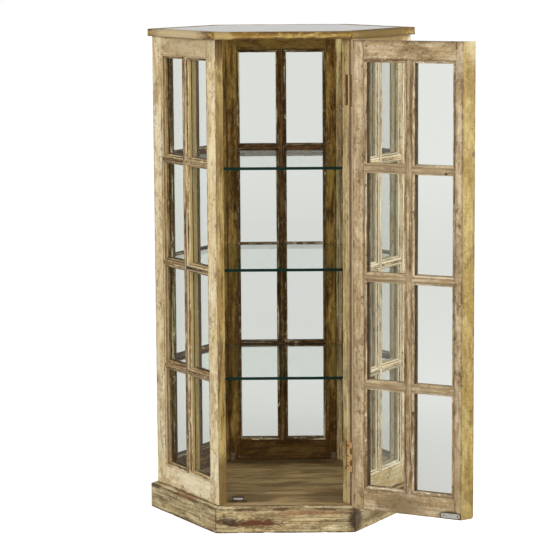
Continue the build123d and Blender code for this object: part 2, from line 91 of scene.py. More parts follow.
class NodeDesk:
    """Lays out and joins the nodes of one tree."""

    def __init__(self, tree: bpy.types.NodeTree) -> None:
        """Start on an empty tree."""
        self.tree = tree
        self.tree.nodes.clear()

    def feed(self, value: object, target: Socket) -> None:
        """Join a socket to a target, or set the target to a plain value."""
        if isinstance(value, bpy.types.NodeSocket):
            self.tree.links.new(value, target)
        else:
            target.default_value = value

    def add(
        self, kind: str, inputs: dict[str | int, object] | None = None, **settings: object
    ) -> bpy.types.Node:
        """Add a shader node.

        Args:
            kind: The node's type without its prefix.
            inputs: A socket or a plain value for each input that is used.
            settings: The node's own properties.

        Returns:
            The node.
        """
        node = self.tree.nodes.new(f"ShaderNode{kind}")
        for name, value in settings.items():
            setattr(node, name, value)
        for key, value in (inputs or {}).items():
            self.feed(value, node.inputs[key])
        return node

    def group(self, name: str, inputs: dict[str, object]) -> bpy.types.NodeOutputs:
        """Add one of the shared groups and return its outputs."""
        return self.add("Group", inputs, node_tree=bpy.data.node_groups[name]).outputs

    def math(self, operation: str, *values: object) -> Socket:
        """Combine numbers with one Math node."""
        return self.add("Math", dict(enumerate(values)), operation=operation).outputs[0]

    def times(self, first: object, second: object) -> Socket:
        """Multiply two numbers."""
        return self.math("MULTIPLY", first, second)

    def minus(self, first: object, second: object) -> Socket:
        """Take the second number from the first."""
        return self.math("SUBTRACT", first, second)

    def vector(self, operation: str, first: Socket, second: object = (0, 0, 0)) -> Socket:
        """Combine two vectors into a vector, or into a number for a length or a distance."""
        node = self.add("VectorMath", {0: first, 1: second}, operation=operation)
        return node.outputs["Value" if operation in ("LENGTH", "DISTANCE") else "Vector"]

    def rise(self, value: Socket, start: float, end: float) -> Socket:
        """Step smoothly from 0 to 1.

        Args:
            value: The value that is followed.
            start: Where the step begins, at 0.
            end: Where it ends, at 1, which may lie below the start.

        Returns:
            The step's socket.
        """
        low, high = sorted((start, end))
        span = {"Value": value, "From Min": low, "From Max": high}
        span |= {"To Min": float(start > end), "To Max": float(start < end)}
        node = self.add("MapRange", span, interpolation_type="SMOOTHSTEP", clamp=True)
        return node.outputs["Result"]

    def noise(
        self, place: Socket, stretch: Triple, detail: float, rough: float, swirl: float = 0.0
    ) -> Socket:
        """Return soft noise at a place.

        Args:
            place: The place as a vector in metres.
            stretch: Waves per metre along each axis of the place.
            detail: How many finer layers are added.
            rough: How strong the finer layers are.
            swirl: How much the noise bends itself.

        Returns:
            The noise's socket, mostly between 0.3 and 0.7.
        """
        inputs = {"Vector": self.vector("MULTIPLY", place, stretch), "Scale": 1.0}
        inputs |= {"Detail": detail, "Roughness": rough, "Distortion": swirl}
        return self.add("TexNoise", inputs, noise_dimensions="3D").outputs[0]

    def spots(self, place: Socket, stretch: Triple, size: Span, share: Span) -> Socket:
        """Scatter round spots.

        Args:
            place: The place as a vector in metres.
            stretch: Cells per metre along each axis of the place.
            size: Distances from a cell's middle at which its spot fades in and is full.
            share: Values of a cell's lot, from 0 to 1, between which its spot appears.

        Returns:
            The spots' mask.
        """
        inputs = {"Vector": self.vector("MULTIPLY", place, stretch), "Scale": 1.0}
        cells = self.add("TexVoronoi", inputs, feature="F1").outputs
        lot = self.add("SeparateColor", {0: cells["Color"]}).outputs[0]
        return self.times(self.rise(cells["Distance"], *size), self.rise(lot, *share))

    def blend(self, share: object, first: object, second: object) -> Socket:
        """Mix two colours by a share of the second."""
        inputs = {0: share, 6: first, 7: second}
        return self.add("Mix", inputs, data_type="RGBA", clamp_factor=True).outputs[2]

    def bump(self, height: Socket, strength: float, distance: float) -> Socket:
        """Turn a height into a bent normal."""
        inputs = {"Strength": strength, "Distance": distance, "Height": height}
        return self.add("Bump", inputs).outputs[0]

    def place(self) -> Socket:
        """Return the object's own coordinates, in metres."""
        return self.add("TexCoord").outputs["Object"]

    def principled(self, inputs: dict[str, object]) -> Socket:
        """Add a Principled shader and return it."""
        return self.add("BsdfPrincipled", inputs).outputs[0]


def open_group(
    name: str, takes: dict[str, object], gives: tuple[str, ...]
) -> tuple[NodeDesk, bpy.types.NodeOutputs, bpy.types.NodeInputs]:
    """Start a node group.

    Args:
        name: The group's name.
        takes: The default of each input, which is a number, a vector or a colour.
        gives: The outputs, of which Color is a colour and the others are numbers.

    Returns:
        A desk on the group's tree, what the group takes and what it gives.
    """
    tree = bpy.data.node_groups.new(name, "ShaderNodeTree")
    desk = NodeDesk(tree)
    kinds = {3: "NodeSocketVector", 4: "NodeSocketColor"}
    for label, value in takes.items():
        kind = kinds[len(value)] if isinstance(value, tuple) else "NodeSocketFloat"
        socket = tree.interface.new_socket(name=label, in_out="INPUT", socket_type=kind)
        socket.default_value = value
    for label in gives:
        kind = "NodeSocketColor" if label == "Color" else "NodeSocketFloat"
        tree.interface.new_socket(name=label, in_out="OUTPUT", socket_type=kind)
    given, made = (tree.nodes.new(f"NodeGroup{end}") for end in ("Input", "Output"))
    return desk, given.outputs, made.inputs


COATS = ("pale", "middle", "dark", "grime", "chalk")
AMOUNTS = (
    "stains", "blotches", "streaks", "chips", "flakes", "cracks", "nail_holes",
    "grimy_edges", "grimy_ends", "mottle",
)


def make_timber_group() -> None:
    """Build the pattern of old wood: blotches, streaks, flaked paint, cracks, holes and grime.

    Its Grain input runs along, across and through the board, and its Margin input holds the
    distances to the sides and to the nearer end of the face, or 2 and 1 on a worn corner.
    """
    desk, given, made = open_group(
        "old_timber",
        {"Grain": (0, 0, 0), "Margin": (1, 1, 1)}
        | dict.fromkeys(COATS, (1, 1, 1, 1)) | dict.fromkeys(AMOUNTS, 0.5),
        ("Color", "Roughness", "Height"),
    )
    times, rise = desk.times, desk.rise
    grain = given["Grain"]
    broad = desk.noise(grain, (3.1, 15, 15), 4, 0.6, 0.6)
    smoky = desk.noise(grain, (5, 16, 16), 3, 0.5, 1.2)
    patchy = desk.noise(grain, (13, 38, 38), 6, 0.66, 0.6)
    mottled = desk.noise(grain, (60, 110, 110), 4, 0.7, 0.2)
    streaky = desk.noise(grain, (4.5, 120, 120), 4, 0.65, 0.3)
    fine = desk.noise(grain, (25, 520, 520), 3, 0.6)
    torn = desk.noise(grain, (17, 210, 210), 6, 0.75, 1.1)
    flaked = desk.noise(grain, (30, 80, 80), 6, 0.72, 0.5)
    gate = desk.noise(grain, (5, 21, 21), 3, 0.6, 0.4)
    hole = desk.spots(grain, (21, 27, 27), (0.095, 0.05), (0.62, 0.66))
    speck = desk.spots(grain, (85, 105, 105), (0.3, 0.16), (0.84, 0.9))
    crack = rise(desk.math("ABSOLUTE", desk.minus(torn, 0.5)), 0.028, 0.006)
    crack = times(crack, rise(gate, 0.44, 0.56))
    chip = times(rise(flaked, 0.57, 0.59), rise(gate, 0.47, 0.53))
    flake = times(rise(flaked, 0.42, 0.4), rise(gate, 0.53, 0.45))
    left, right, end = desk.add("SeparateXYZ", {0: given["Margin"]}).outputs
    waver = times(desk.minus(patchy, 0.5), 0.03)
    side = desk.math("ADD", desk.math("MINIMUM", left, right), waver)
    soiled = times(rise(side, 0.009, -0.002), given["grimy_edges"])
    seam = times(rise(side, 0.003, 0.0), given["grimy_edges"])
    end_grime = times(rise(desk.math("ADD", end, waver), 0.008, 0.0), given["grimy_ends"])
    arris = times(rise(end, 1.2, 1.8), rise(gate, 0.36, 0.56))
    arris = times(arris, rise(desk.math("ADD", flaked, fine), 0.86, 1.08))

    tone = desk.blend(rise(broad, 0.42, 0.58), given["pale"], given["middle"])
    for coat, mask, amount in (
        ("dark", rise(smoky, 0.5, 0.64), given["stains"]),
        ("dark", rise(patchy, 0.51, 0.6), given["blotches"]),
        ("dark", rise(mottled, 0.52, 0.64), times(given["mottle"], 0.28)),
        ("chalk", rise(mottled, 0.46, 0.34), times(given["mottle"], 0.4)),
        ("dark", rise(streaky, 0.52, 0.61), given["streaks"]),
        ("chalk", rise(streaky, 0.46, 0.37), given["flakes"]),
        ("dark", rise(fine, 0.5, 0.7), 0.16),
        ("dark", soiled, 0.8),
        ("grime", chip, given["chips"]),
        ("chalk", flake, given["flakes"]),
        ("grime", crack, given["cracks"]),
        ("grime", speck, given["nail_holes"]),
        ("grime", hole, given["nail_holes"]),
        ("grime", seam, 0.9),
        ("grime", end_grime, 0.7),
        ("chalk", arris, given["flakes"]),
    ):
        tone = desk.blend(times(mask, amount), tone, given[coat])
    height = times(streaky, 0.8)
    for layer, weight in (
        (fine, 0.4), (mottled, 0.5), (crack, -0.7), (chip, -0.5), (flake, 0.3), (hole, -0.8)
    ):
        height = desk.math("MULTIPLY_ADD", layer, weight, height)
    desk.feed(tone, made["Color"])
    desk.feed(desk.math("MULTIPLY_ADD", patchy, 0.5, 0.36), made["Roughness"])
    desk.feed(height, made["Height"])


def make_patch_group() -> None:
    """Build the mask of one ragged patch, which is 1 in its middle and 0 beyond its reach."""
    desk, given, made = open_group(
        "ragged_patch",
        {"Place": (0, 0, 0), "Middle": (0, 0, 0), "Share": (1, 1, 1), "Strength": 1.0, "Tear": 2.6},
        ("Mask",),
    )
    away = desk.vector("SUBTRACT", given["Place"], given["Middle"])
    away = desk.vector("LENGTH", desk.vector("MULTIPLY", away, given["Share"]))
    tear = desk.noise(given["Place"], (60, 60, 170), 6, 0.75, 0.4)
    torn = desk.math("MULTIPLY_ADD", desk.minus(tear, 0.5), given["Tear"], away)
    desk.feed(desk.times(desk.rise(torn, 1.05, 0.5), given["Strength"]), made["Mask"])


def make_rust_group() -> None:
    """Build the pattern of rust at a place: two tones of orange with dark scale."""
    colours = dict.fromkeys(("Bright", "Deep", "Scale"), (1, 1, 1, 1))
    desk, given, made = open_group(
        "rust", {"Place": (0, 0, 0)} | colours, ("Color", "Roughness", "Height")
    )
    cloud = desk.noise(given["Place"], (90, 90, 70), 6, 0.7, 0.5)
    grit = desk.noise(given["Place"], (650, 650, 650), 3, 0.6)
    flake = desk.noise(given["Place"], (170, 170, 120), 5, 0.7, 0.9)
    tone = desk.blend(desk.rise(cloud, 0.4, 0.62), given["Bright"], given["Deep"])
    tone = desk.blend(desk.rise(flake, 0.55, 0.66), tone, given["Scale"])
    tone = desk.blend(desk.times(desk.rise(grit, 0.5, 0.8), 0.4), tone, given["Scale"])
    desk.feed(tone, made["Color"])
    desk.feed(desk.math("MULTIPLY_ADD", cloud, 0.5, 0.5), made["Roughness"])
    desk.feed(desk.math("MULTIPLY_ADD", grit, 0.4, flake), made["Height"])


# Finishes

GRIME = (66, 43, 22)
CHALK = (246, 236, 212)


@dataclass(frozen=True)
class Patch:
    """A ragged patch of another tone at one place on the cabinet."""

    middle: Triple
    reach: Triple
    tone: Tone
    strength: float = 1.0
    tear: float = 0.9


@dataclass(frozen=True)
class Finish:
    """A finish that becomes one material."""

    name: str

    def lay(self, desk: NodeDesk) -> Socket:
        """Lay out the finish's own nodes and return its shader."""
        raise NotImplementedError

    def make(self) -> bpy.types.Material:
        """Build the material, or find it where it is already there.

        Returns:
            The material.
        """
        if self.name not in bpy.data.materials:
            material = bpy.data.materials.new(self.name)
            material.use_nodes = True
            desk = NodeDesk(material.node_tree)
            desk.add("OutputMaterial", {"Surface": self.lay(desk)})
        return bpy.data.materials[self.name]


@dataclass(frozen=True)
class WoodFinish(Finish):
    """Old wood under worn paint and wax."""

    pale: Tone
    middle: Tone
    dark: Tone
    grime: Tone
    chalk: Tone
    stains: float = 0.6
    blotches: float = 0.3
    streaks: float = 0.5
    chips: float = 0.4
    flakes: float = 0.4
    cracks: float = 0.5
    nail_holes: float = 0.7
    grimy_edges: float = 0.6
    grimy_ends: float = 0.25
    mottle: float = 1.0
    relief: float = 0.35
    gloss: float = 0.22
    figure: Triple = (1.0, 1.0, 1.0)
    patches: tuple[Patch, ...] = ()

    def lay(self, desk: NodeDesk) -> Socket:
        """Lay the coats over the grain of each board, then the patches.

        Args:
            desk: The desk on the material's tree.

        Returns:
            The wood's shader.
        """
        grain, margin = (
            desk.add("Attribute", attribute_name=name).outputs["Vector"]
            for name in ("grain", "margin")
        )
        inputs = {"Grain": desk.vector("MULTIPLY", grain, self.figure), "Margin": margin}
        inputs |= {name: linear(getattr(self, name)) for name in COATS}
        inputs |= {name: getattr(self, name) for name in AMOUNTS}
        timber = desk.group("old_timber", inputs)
        tone = timber["Color"]
        place = desk.place()
        for patch in self.patches:
            share = tuple(1 / size for size in patch.reach)
            inputs = {"Place": place, "Middle": patch.middle, "Share": share}
            inputs |= {"Strength": patch.strength, "Tear": patch.tear}
            tone = desk.blend(desk.group("ragged_patch", inputs)["Mask"], tone, linear(patch.tone))
        return desk.principled({
            "Specular IOR Level": self.gloss, "Base Color": tone, "Roughness": timber["Roughness"],
            "Normal": desk.bump(timber["Height"], self.relief, 0.0012),
        })


@dataclass(frozen=True)
class GlassFinish(Finish):
    """Clear glass that lets the lamps through, with a tint of its own for what passes."""

    tint: Tone
    roughness: float = 0.0
    ripple: float = 0.02
    clearness: float = 1.0
    bending: float = 1.25
    passing: Tone | None = None

    def lay(self, desk: NodeDesk) -> Socket:
        """Lay rippled glass that is plain clear to shadow and diffuse rays.

        Args:
            desk: The desk on the material's tree.

        Returns:
            The glass's shader.
        """
        wave = desk.noise(desk.place(), (9, 9, 6), 2, 0.5)
        glass = desk.principled({
            "Base Color": linear(self.tint), "Roughness": self.roughness, "IOR": self.bending,
            "Transmission Weight": self.clearness, "Normal": desk.bump(wave, self.ripple, 0.01),
        })
        clear = desk.add("BsdfTransparent", {"Color": linear(self.passing or self.tint)})
        rays = desk.add("LightPath").outputs
        share = desk.math("MAXIMUM", rays["Is Shadow Ray"], rays["Is Diffuse Ray"])
        return desk.add("MixShader", {0: share, 1: glass, 2: clear.outputs[0]}).outputs[0]


@dataclass(frozen=True)
class RustFinish(Finish):
    """Iron under years of rust, darker along the pin, with painted shade of the recess along the
    edge of a leaf.

    Spans are distances from the pin, unless a comment says otherwise.
    """

    bright: Tone
    deep: Tone
    scale: Tone
    metallic: float = 0.0
    paint: float = 0.0
    knuckle_tone: Tone = (0, 0, 0)
    paint_tone: Tone = (206, 176, 128)
    upper_recess_shade: Tone = (84, 49, 14)
    upper_knuckle: Tone = (48, 27, 10)
    lit_knuckle: Tone = (190, 164, 118)
    # distances from the pin where the painted shade of the recess along a leaf's edge begins and is
    # full
    edge: Span = (0.0302, 0.0320)
    knuckle: Span = (0.0085, 0.0065)
    upper_shift: float = 0.0125  # how much nearer the upper hinge's painted shade along the leaf's edge lies
    lit_side: Span = (0.0002, 0.0024)  # to the right of the pin
    upper_hinge: Span = (0.8, 1.1)  # heights between which the upper hinge's tones begin

    def lay(self, desk: NodeDesk) -> Socket:
        """Lay the rust, what paint is left on it, the painted shade along the leaf's edge and the
        knuckles.

        Args:
            desk: The desk on the material's tree.

        Returns:
            The rust's shader.
        """
        place = desk.place()
        colours = {"Bright": self.bright, "Deep": self.deep, "Scale": self.scale}
        inputs = {label: linear(tone) for label, tone in colours.items()}
        rust = desk.group("rust", {"Place": place} | inputs)
        flat = desk.vector("MULTIPLY", place, (1, 1, 0))
        away = desk.vector("DISTANCE", flat, (*PIN, 0))
        across, _, height = desk.add("SeparateXYZ", {0: place}).outputs
        upper = desk.rise(height, *self.upper_hinge)
        flaked = desk.rise(desk.noise(place, (240, 240, 110), 4, 0.7, 0.4), 0.66, 0.56)
        kept = desk.times(desk.times(upper, flaked), self.paint)
        tone = desk.blend(kept, rust["Color"], linear(self.paint_tone))
        # Painted shade of the recess along the leaf's edge, in the scale tone below and a browner
        # tone on the upper hinge.
        recess_shade_mask = desk.rise(desk.math("MULTIPLY_ADD", upper, self.upper_shift, away), *self.edge)
        rim = desk.blend(upper, linear(self.scale), linear(self.upper_recess_shade))
        tone = desk.blend(desk.times(recess_shade_mask, 0.95), tone, rim)
        lit = desk.rise(across, *(PIN[0] + part for part in self.lit_side))
        knuckle = desk.blend(
            desk.times(upper, 0.92), linear(self.knuckle_tone), linear(self.upper_knuckle)
        )
        lit = desk.times(lit, desk.minus(1.0, upper))
        knuckle = desk.blend(lit, knuckle, linear(self.lit_knuckle))
        tone = desk.blend(desk.times(desk.rise(away, *self.knuckle), 0.9), tone, knuckle)
        return desk.principled({
            "Metallic": self.metallic, "Specular IOR Level": 0.25, "Base Color": tone,
            "Roughness": rust["Roughness"], "Normal": desk.bump(rust["Height"], 0.4, 0.0005),
        })


@dataclass(frozen=True)
class PlainFinish(Finish):
    """Metal or plastic with fine scratches and a little dust."""

    tone: Tone
    dust: Tone
    metallic: float
    roughness: float
    gloss: float = 0.5

    def lay(self, desk: NodeDesk) -> Socket:
        """Lay dust in clouds over the scratched surface.

        Args:
            desk: The desk on the material's tree.

        Returns:
            The surface's shader.
        """
        place = desk.place()
        cloud = desk.noise(place, (70, 70, 70), 5, 0.65, 0.3)
        scratch = desk.noise(place, (60, 60, 1500), 2, 0.5)
        dusty = desk.times(desk.rise(cloud, 0.48, 0.7), 0.6)
        return desk.principled({
            "Metallic": self.metallic, "Specular IOR Level": self.gloss,
            "Base Color": desk.blend(dusty, linear(self.tone), linear(self.dust)),
            "Roughness": desk.math("MULTIPLY_ADD", cloud, 0.3, self.roughness),
            "Normal": desk.bump(scratch, 0.15, 0.0003),
        })


@dataclass(frozen=True)
class FloorFinish(Finish):
    """A white studio floor that keeps a soft shadow."""

    tone: Tone = (168, 168, 167)
    seen: float = 0.86
    through: float = 0.46
    # Through glass and in reflections the floor glows less near the cabinet: painted shade round
    # it.
    near_rise: Span = (0.2, 2.6)
    near_gain: float = 0.24
    far_rise: Span = (3.0, 14.0)
    far_gain: float = 0.145

    def lay(self, desk: NodeDesk) -> Socket:
        """Lay a dull floor that shines by itself as it is seen, and less so through glass, least
        near the cabinet, where the dimming is painted shade.

        Args:
            desk: The desk on the material's tree.

        Returns:
            The floor's shader.
        """
        away = desk.vector("LENGTH", desk.place())
        far = desk.rise(away, *self.far_rise)
        level = desk.math("MULTIPLY_ADD", far, self.far_gain, self.through)
        near = desk.rise(away, *self.near_rise)
        level = desk.math("MULTIPLY_ADD", near, self.near_gain, level)
        rays = desk.add("LightPath").outputs
        indirect = desk.math("MAXIMUM", rays["Is Glossy Ray"], rays["Is Transmission Ray"])
        shine = desk.times(indirect, level)
        return desk.principled({
            "Base Color": linear(self.tone), "Roughness": 0.9, "Specular IOR Level": 0.0,
            "Emission Color": (1, 1, 1, 1),
            "Emission Strength": desk.math("MULTIPLY_ADD", rays["Is Camera Ray"], self.seen, shine),
        })


PAINT = (2.0, 1.0, 1.0)  # a figure whose marks are half as long as those of bare wood
TALL = 3.0  # a patch's reach that takes in the whole height
CROSS_BAR_LEVELS = (0.523, 0.888, 1.252)
OUTSIDE_WOOD = WoodFinish(
    "outside_wood", (255, 240, 202), (240, 218, 168), (168, 130, 74), GRIME, CHALK,
    stains=0.54, streaks=0.3, chips=0.65, flakes=0.35, cracks=0.2, nail_holes=0.8,
    grimy_ends=0.0, mottle=0.65, figure=PAINT,
    patches=(
        Patch((-0.33, -0.24, 1.65), (0.22, 0.25, 0.08), (176, 156, 116), 0.6),
        Patch((-0.33, -0.26, 0.14), (0.14, 0.2, 0.045), (255, 242, 206), 0.42, 1.5),
    ),
)
OUTSIDE_MOULDING = WoodFinish(
    "outside_moulding", (208, 182, 132), (172, 141, 92), (98, 64, 32), (52, 32, 17),
    (240, 221, 178), blotches=0.6, streaks=0.9, chips=1.0, flakes=0.85, cracks=0.8,
    grimy_edges=0.9, relief=0.7,
    patches=(Patch((-0.405, -0.056, 0.88), (0.03, 0.04, TALL), (134, 106, 68), 0.6, 1.6),),
)
WALL_WOOD = WoodFinish(
    "wall_wood", (152, 122, 78), (112, 84, 48), (66, 44, 24), (40, 26, 14), (226, 208, 166),
    blotches=0.5, streaks=0.7, chips=0.5, flakes=0.5, cracks=0.4, grimy_edges=0.4, gloss=0.1,
)
# Painted light on the sides of the left-front sash's bars.
SUNNY_BAR_SIDE = Patch((-0.309, -0.2, 0.92), (0.05, 0.05, 1.6), (202, 178, 124), 0.65, 2.0)
# A paler copy of the wall wood with painted light, for the left-front sash.
LEFT_WALL_WOOD = replace(
    WALL_WOOD, name="left_wall_wood", pale=(182, 152, 100), middle=(138, 110, 68),
    dark=(84, 60, 34), patches=(SUNNY_BAR_SIDE,),
)
# A darker copy of the outside paint for the right-front sash, which the right-hand lamps light
# strongly: painted shade.
RIGHT_OUTSIDE_WOOD = WoodFinish(
    "right_outside_wood", (240, 223, 182), (226, 203, 155), (168, 132, 80), GRIME,
    (248, 238, 212), stains=0.5, blotches=0.4, streaks=0.42, chips=0.8, flakes=0.5,
    cracks=0.45, grimy_ends=0.15, figure=PAINT,
    patches=(
        # Painted shade beside the hinges.
        Patch((0.226, -0.388, 0.88), (0.012, 0.016, TALL), (84, 60, 32), 0.9, 2.6),
        Patch((0.36, -0.2, 1.68), (0.25, 0.3, 0.06), (126, 100, 56), 0.9),
        Patch((0.36, -0.16, 0.1), (0.3, 0.36, 0.075), (152, 132, 84), 0.5, 2.2),
    ),
)
# A paler copy of the outside moulding: painted light on the right-front sash, which lies in the
# door's shade.
RIGHT_OUTSIDE_MOULDING = WoodFinish(
    "right_outside_moulding", (248, 233, 194), (234, 211, 162), (150, 114, 66), GRIME,
    (252, 244, 222), stains=0.5, blotches=0.5, streaks=0.6, chips=0.8, flakes=0.9, cracks=0.6,
    relief=0.5,
)
JAMB_WOOD = WoodFinish(
    "jamb_wood", (212, 186, 122), (182, 150, 86), (100, 66, 28), GRIME, (236, 218, 164),
    stains=0.75, blotches=0.35, streaks=0.6, chips=0.5, flakes=0.2, cracks=0.4, grimy_edges=0.3,
    patches=(
        # Painted shade at the top of the jamb, under the rim.
        Patch((-0.215, -0.37, 1.66), (0.06, 0.08, 0.09), (84, 54, 22), 0.8),
        Patch((-0.215, -0.37, 1.34), (0.06, 0.08, 0.2), (132, 104, 54), 0.55),
        Patch((-0.215, -0.37, 0.17), (0.06, 0.08, 0.12), (104, 76, 38), 0.75),
    ),
)
RIGHT_JAMB_WOOD = WoodFinish(
    "right_jamb_wood", (220, 198, 147), (190, 162, 108), (104, 72, 40), GRIME, (240, 226, 184),
    blotches=0.35, chips=0.5, flakes=0.3, cracks=0.4, grimy_edges=0.35,
    # Painted shade beside the hinges.
    patches=(Patch((0.2235, -0.387, 0.88), (0.0045, 0.0075, TALL), (84, 60, 30), 0.75, 0.6),),
)
ROOM_WOOD = WoodFinish(
    "room_wood", (178, 141, 75), (128, 90, 41), (64, 36, 16), (32, 18, 8), (206, 178, 118),
    stains=0.7, blotches=0.5, streaks=0.7, flakes=0.25, cracks=0.4, grimy_edges=0.55, gloss=0.08,
    # Painted shade low in the back left of the room, which gets less light than the right.
    patches=(Patch((-0.3, 0.15, 0.4), (0.25, 0.3, 0.45), (56, 38, 17), 0.5),),
)
BACK_ROOM_WOOD = replace(
    ROOM_WOOD, name="back_room_wood",
    patches=(
        # Painted shade on the room side of the back sash, at its bottom and top rails.
        Patch((0.0, 0.35, 0.12), (0.4, 0.1, 0.1), (62, 38, 16), 0.75),
        Patch((0.0, 0.35, 1.67), (0.5, 0.12, 0.09), (66, 48, 22), 0.7),
    ),
)
ROOM_BAR_WOOD = WoodFinish(
    "room_bar_wood", (134, 94, 52), (98, 64, 32), (54, 30, 15), (28, 16, 8), (186, 162, 114),
    stains=0.7, blotches=0.5, streaks=0.7, flakes=0.3, grimy_edges=0.7, gloss=0.08,
)
# A much paler copy of the room wood: painted light on the room side of the right-back sash.
SUNNY_ROOM_WOOD = WoodFinish(
    "sunny_room_wood", (250, 228, 176), (214, 178, 122), (104, 64, 34), (36, 20, 8),
    (255, 240, 204), stains=0.7, blotches=0.4, streaks=0.7, cracks=0.4, grimy_edges=0.4,
    gloss=0.08,
)
ROOM_BEAD_WOOD = WoodFinish(
    "room_bead_wood", (132, 96, 54), (98, 66, 34), (56, 33, 16), (28, 16, 8), (238, 228, 196),
    blotches=0.5, streaks=0.4, chips=0.5, flakes=0.9, gloss=0.08,
)
# A paler copy of the bead wood with painted light, for the left-front sash's reveals.
LEFT_REVEAL_WOOD = replace(
    ROOM_BEAD_WOOD, name="left_reveal_wood", pale=(142, 112, 66), middle=(108, 80, 44),
    dark=(64, 42, 22), patches=(SUNNY_BAR_SIDE,),
)
# Almost white, a paler copy of the bead wood: painted light on the right-front sash's beads and
# walls, which lie in shade.
RIGHT_BEAD_WOOD = WoodFinish(
    "right_bead_wood", (255, 250, 228), (250, 236, 200), (206, 180, 130), GRIME,
    (255, 252, 236), stains=0.5, blotches=0.4, flakes=0.6, grimy_edges=0.3, gloss=0.08,
)
DOOR_ROOM_WOOD = WoodFinish(
    "door_room_wood", (207, 186, 149), (179, 154, 114), (112, 82, 47), GRIME, (240, 224, 194),
    stains=0.5, blotches=0.28, streaks=0.3, chips=0.65, flakes=0.3, cracks=0.28, nail_holes=0.5,
    grimy_edges=0.5, grimy_ends=0.5, mottle=0.6, figure=PAINT,
    patches=(
        # Painted shadow round the strike plate, on the door's bottom rail and free stile.
        Patch((0.546, -0.6214, 0.106), (0.056, 0.05, 0.0195), (48, 34, 20), 1.0, 0.4),
        Patch((0.26, -0.42, 0.45), (0.05, 0.05, 0.7), (146, 124, 86), 0.6),
        Patch((0.26, -0.42, 1.56), (0.05, 0.05, 0.13), (226, 210, 190), 0.6),
        Patch((0.58, -0.6, 1.6), (0.05, 0.05, 0.09), (224, 206, 176), 0.55),
        Patch((0.58, -0.6, 0.25), (0.06, 0.06, 0.2), (150, 126, 86), 0.5),
        Patch((0.42, -0.51, 0.125), (0.13, 0.09, 0.05), (118, 99, 66), 0.75),
        Patch((0.42, -0.51, 1.65), (0.1, 0.06, 0.03), (140, 112, 72), 0.3),
    ),
)
DOOR_BAR_LIGHT = tuple(
    Patch((0.42, -0.51, level), (0.3, 0.2, 0.04), (226, 202, 162), 0.2)
    for level in CROSS_BAR_LEVELS
)
DOOR_BAR_WOOD = WoodFinish(
    "door_bar_wood", (200, 178, 138), (166, 140, 98), (94, 66, 38), GRIME, (238, 224, 192),
    stains=0.5, streaks=0.6, chips=0.6, cracks=0.4, grimy_edges=0.45, mottle=0.6,
    patches=DOOR_BAR_LIGHT,
)
DOOR_NAIL_HOLE = Patch((0.5284, -0.6095, 1.2422), (0.0055, 0.0055, 0.0055), (24, 16, 10), 1.0, 0.2)
DOOR_BEAD_WOOD = WoodFinish(
    "door_bead_wood", (206, 184, 146), (170, 144, 102), (94, 64, 36), GRIME, (246, 234, 206),
    stains=0.45, blotches=0.4, streaks=0.6, chips=0.8, flakes=0.7, cracks=0.6, nail_holes=0.9,
    grimy_edges=0.5, patches=(*DOOR_BAR_LIGHT, DOOR_NAIL_HOLE),
)
# Dark for dirt and for painted shade in the rebate beside the door's glass.
DOOR_REVEAL_WOOD = WoodFinish(
    "door_reveal_wood", (104, 86, 58), (76, 60, 38), (44, 32, 18), (26, 18, 10),
    (150, 128, 90), blotches=0.5, flakes=0.2, gloss=0.08,
)
DOOR_EDGE_WOOD = WoodFinish(
    "door_edge_wood", (178, 157, 98), (154, 130, 70), (108, 80, 36), GRIME, (226, 208, 156),
    stains=0.28, blotches=0.25, streaks=0.25, chips=0.6, flakes=0.15, cracks=0.15,
    grimy_edges=0.4, mottle=0.7, figure=PAINT,
    patches=(
        # Painted light on the door's hinge edge, which lies in shade beside the frame.
        Patch((0.23, -0.425, 0.88), (0.03, 0.06, TALL), (236, 216, 180), 0.8),
        Patch((0.62, -0.6, 0.17), (0.05, 0.08, 0.03), (92, 64, 28), 0.5),
        Patch((0.62, -0.6, 1.68), (0.06, 0.06, 0.1), (214, 196, 156), 0.6),
    ),
)
PLINTH_WOOD = WoodFinish(
    "aged_plinth", (227, 210, 164), (191, 168, 119), (96, 73, 41), GRIME, (244, 230, 194),
    stains=0.5, blotches=0.4, streaks=0.6, chips=0.5, cracks=0.3, grimy_edges=0.8,
    patches=(
        Patch((-0.11, -0.413, 0.033), (0.13, 0.03, 0.021), (74, 50, 29), 0.75, 2.6),
        Patch((-0.1, -0.413, 0.035), (0.1, 0.03, 0.011), (96, 48, 30), 0.85, 3.4),
        Patch((-0.19, -0.413, 0.043), (0.05, 0.03, 0.02), (50, 34, 20), 0.7, 3.4),
        Patch((0.24, -0.39, 0.045), (0.034, 0.07, 0.055), (52, 33, 17), 0.9, 1.2),
        # Painted shade on the right-hand faces of the plinth, which face away from the left lamp.
        Patch((0.33, -0.24, 0.035), (0.08, 0.12, 0.03), (92, 70, 38), 0.6, 2.0),
        Patch((0.31, -0.3, 0.045), (0.12, 0.16, 0.035), (96, 78, 46), 0.6, 1.6),
        Patch((0.1, -0.41, 0.07), (0.16, 0.03, 0.012), (130, 76, 44), 0.5, 2.6),
        Patch((-0.36, -0.22, 0.09), (0.1, 0.1, 0.012), (124, 76, 46), 0.6, 2.6),
    ),
)
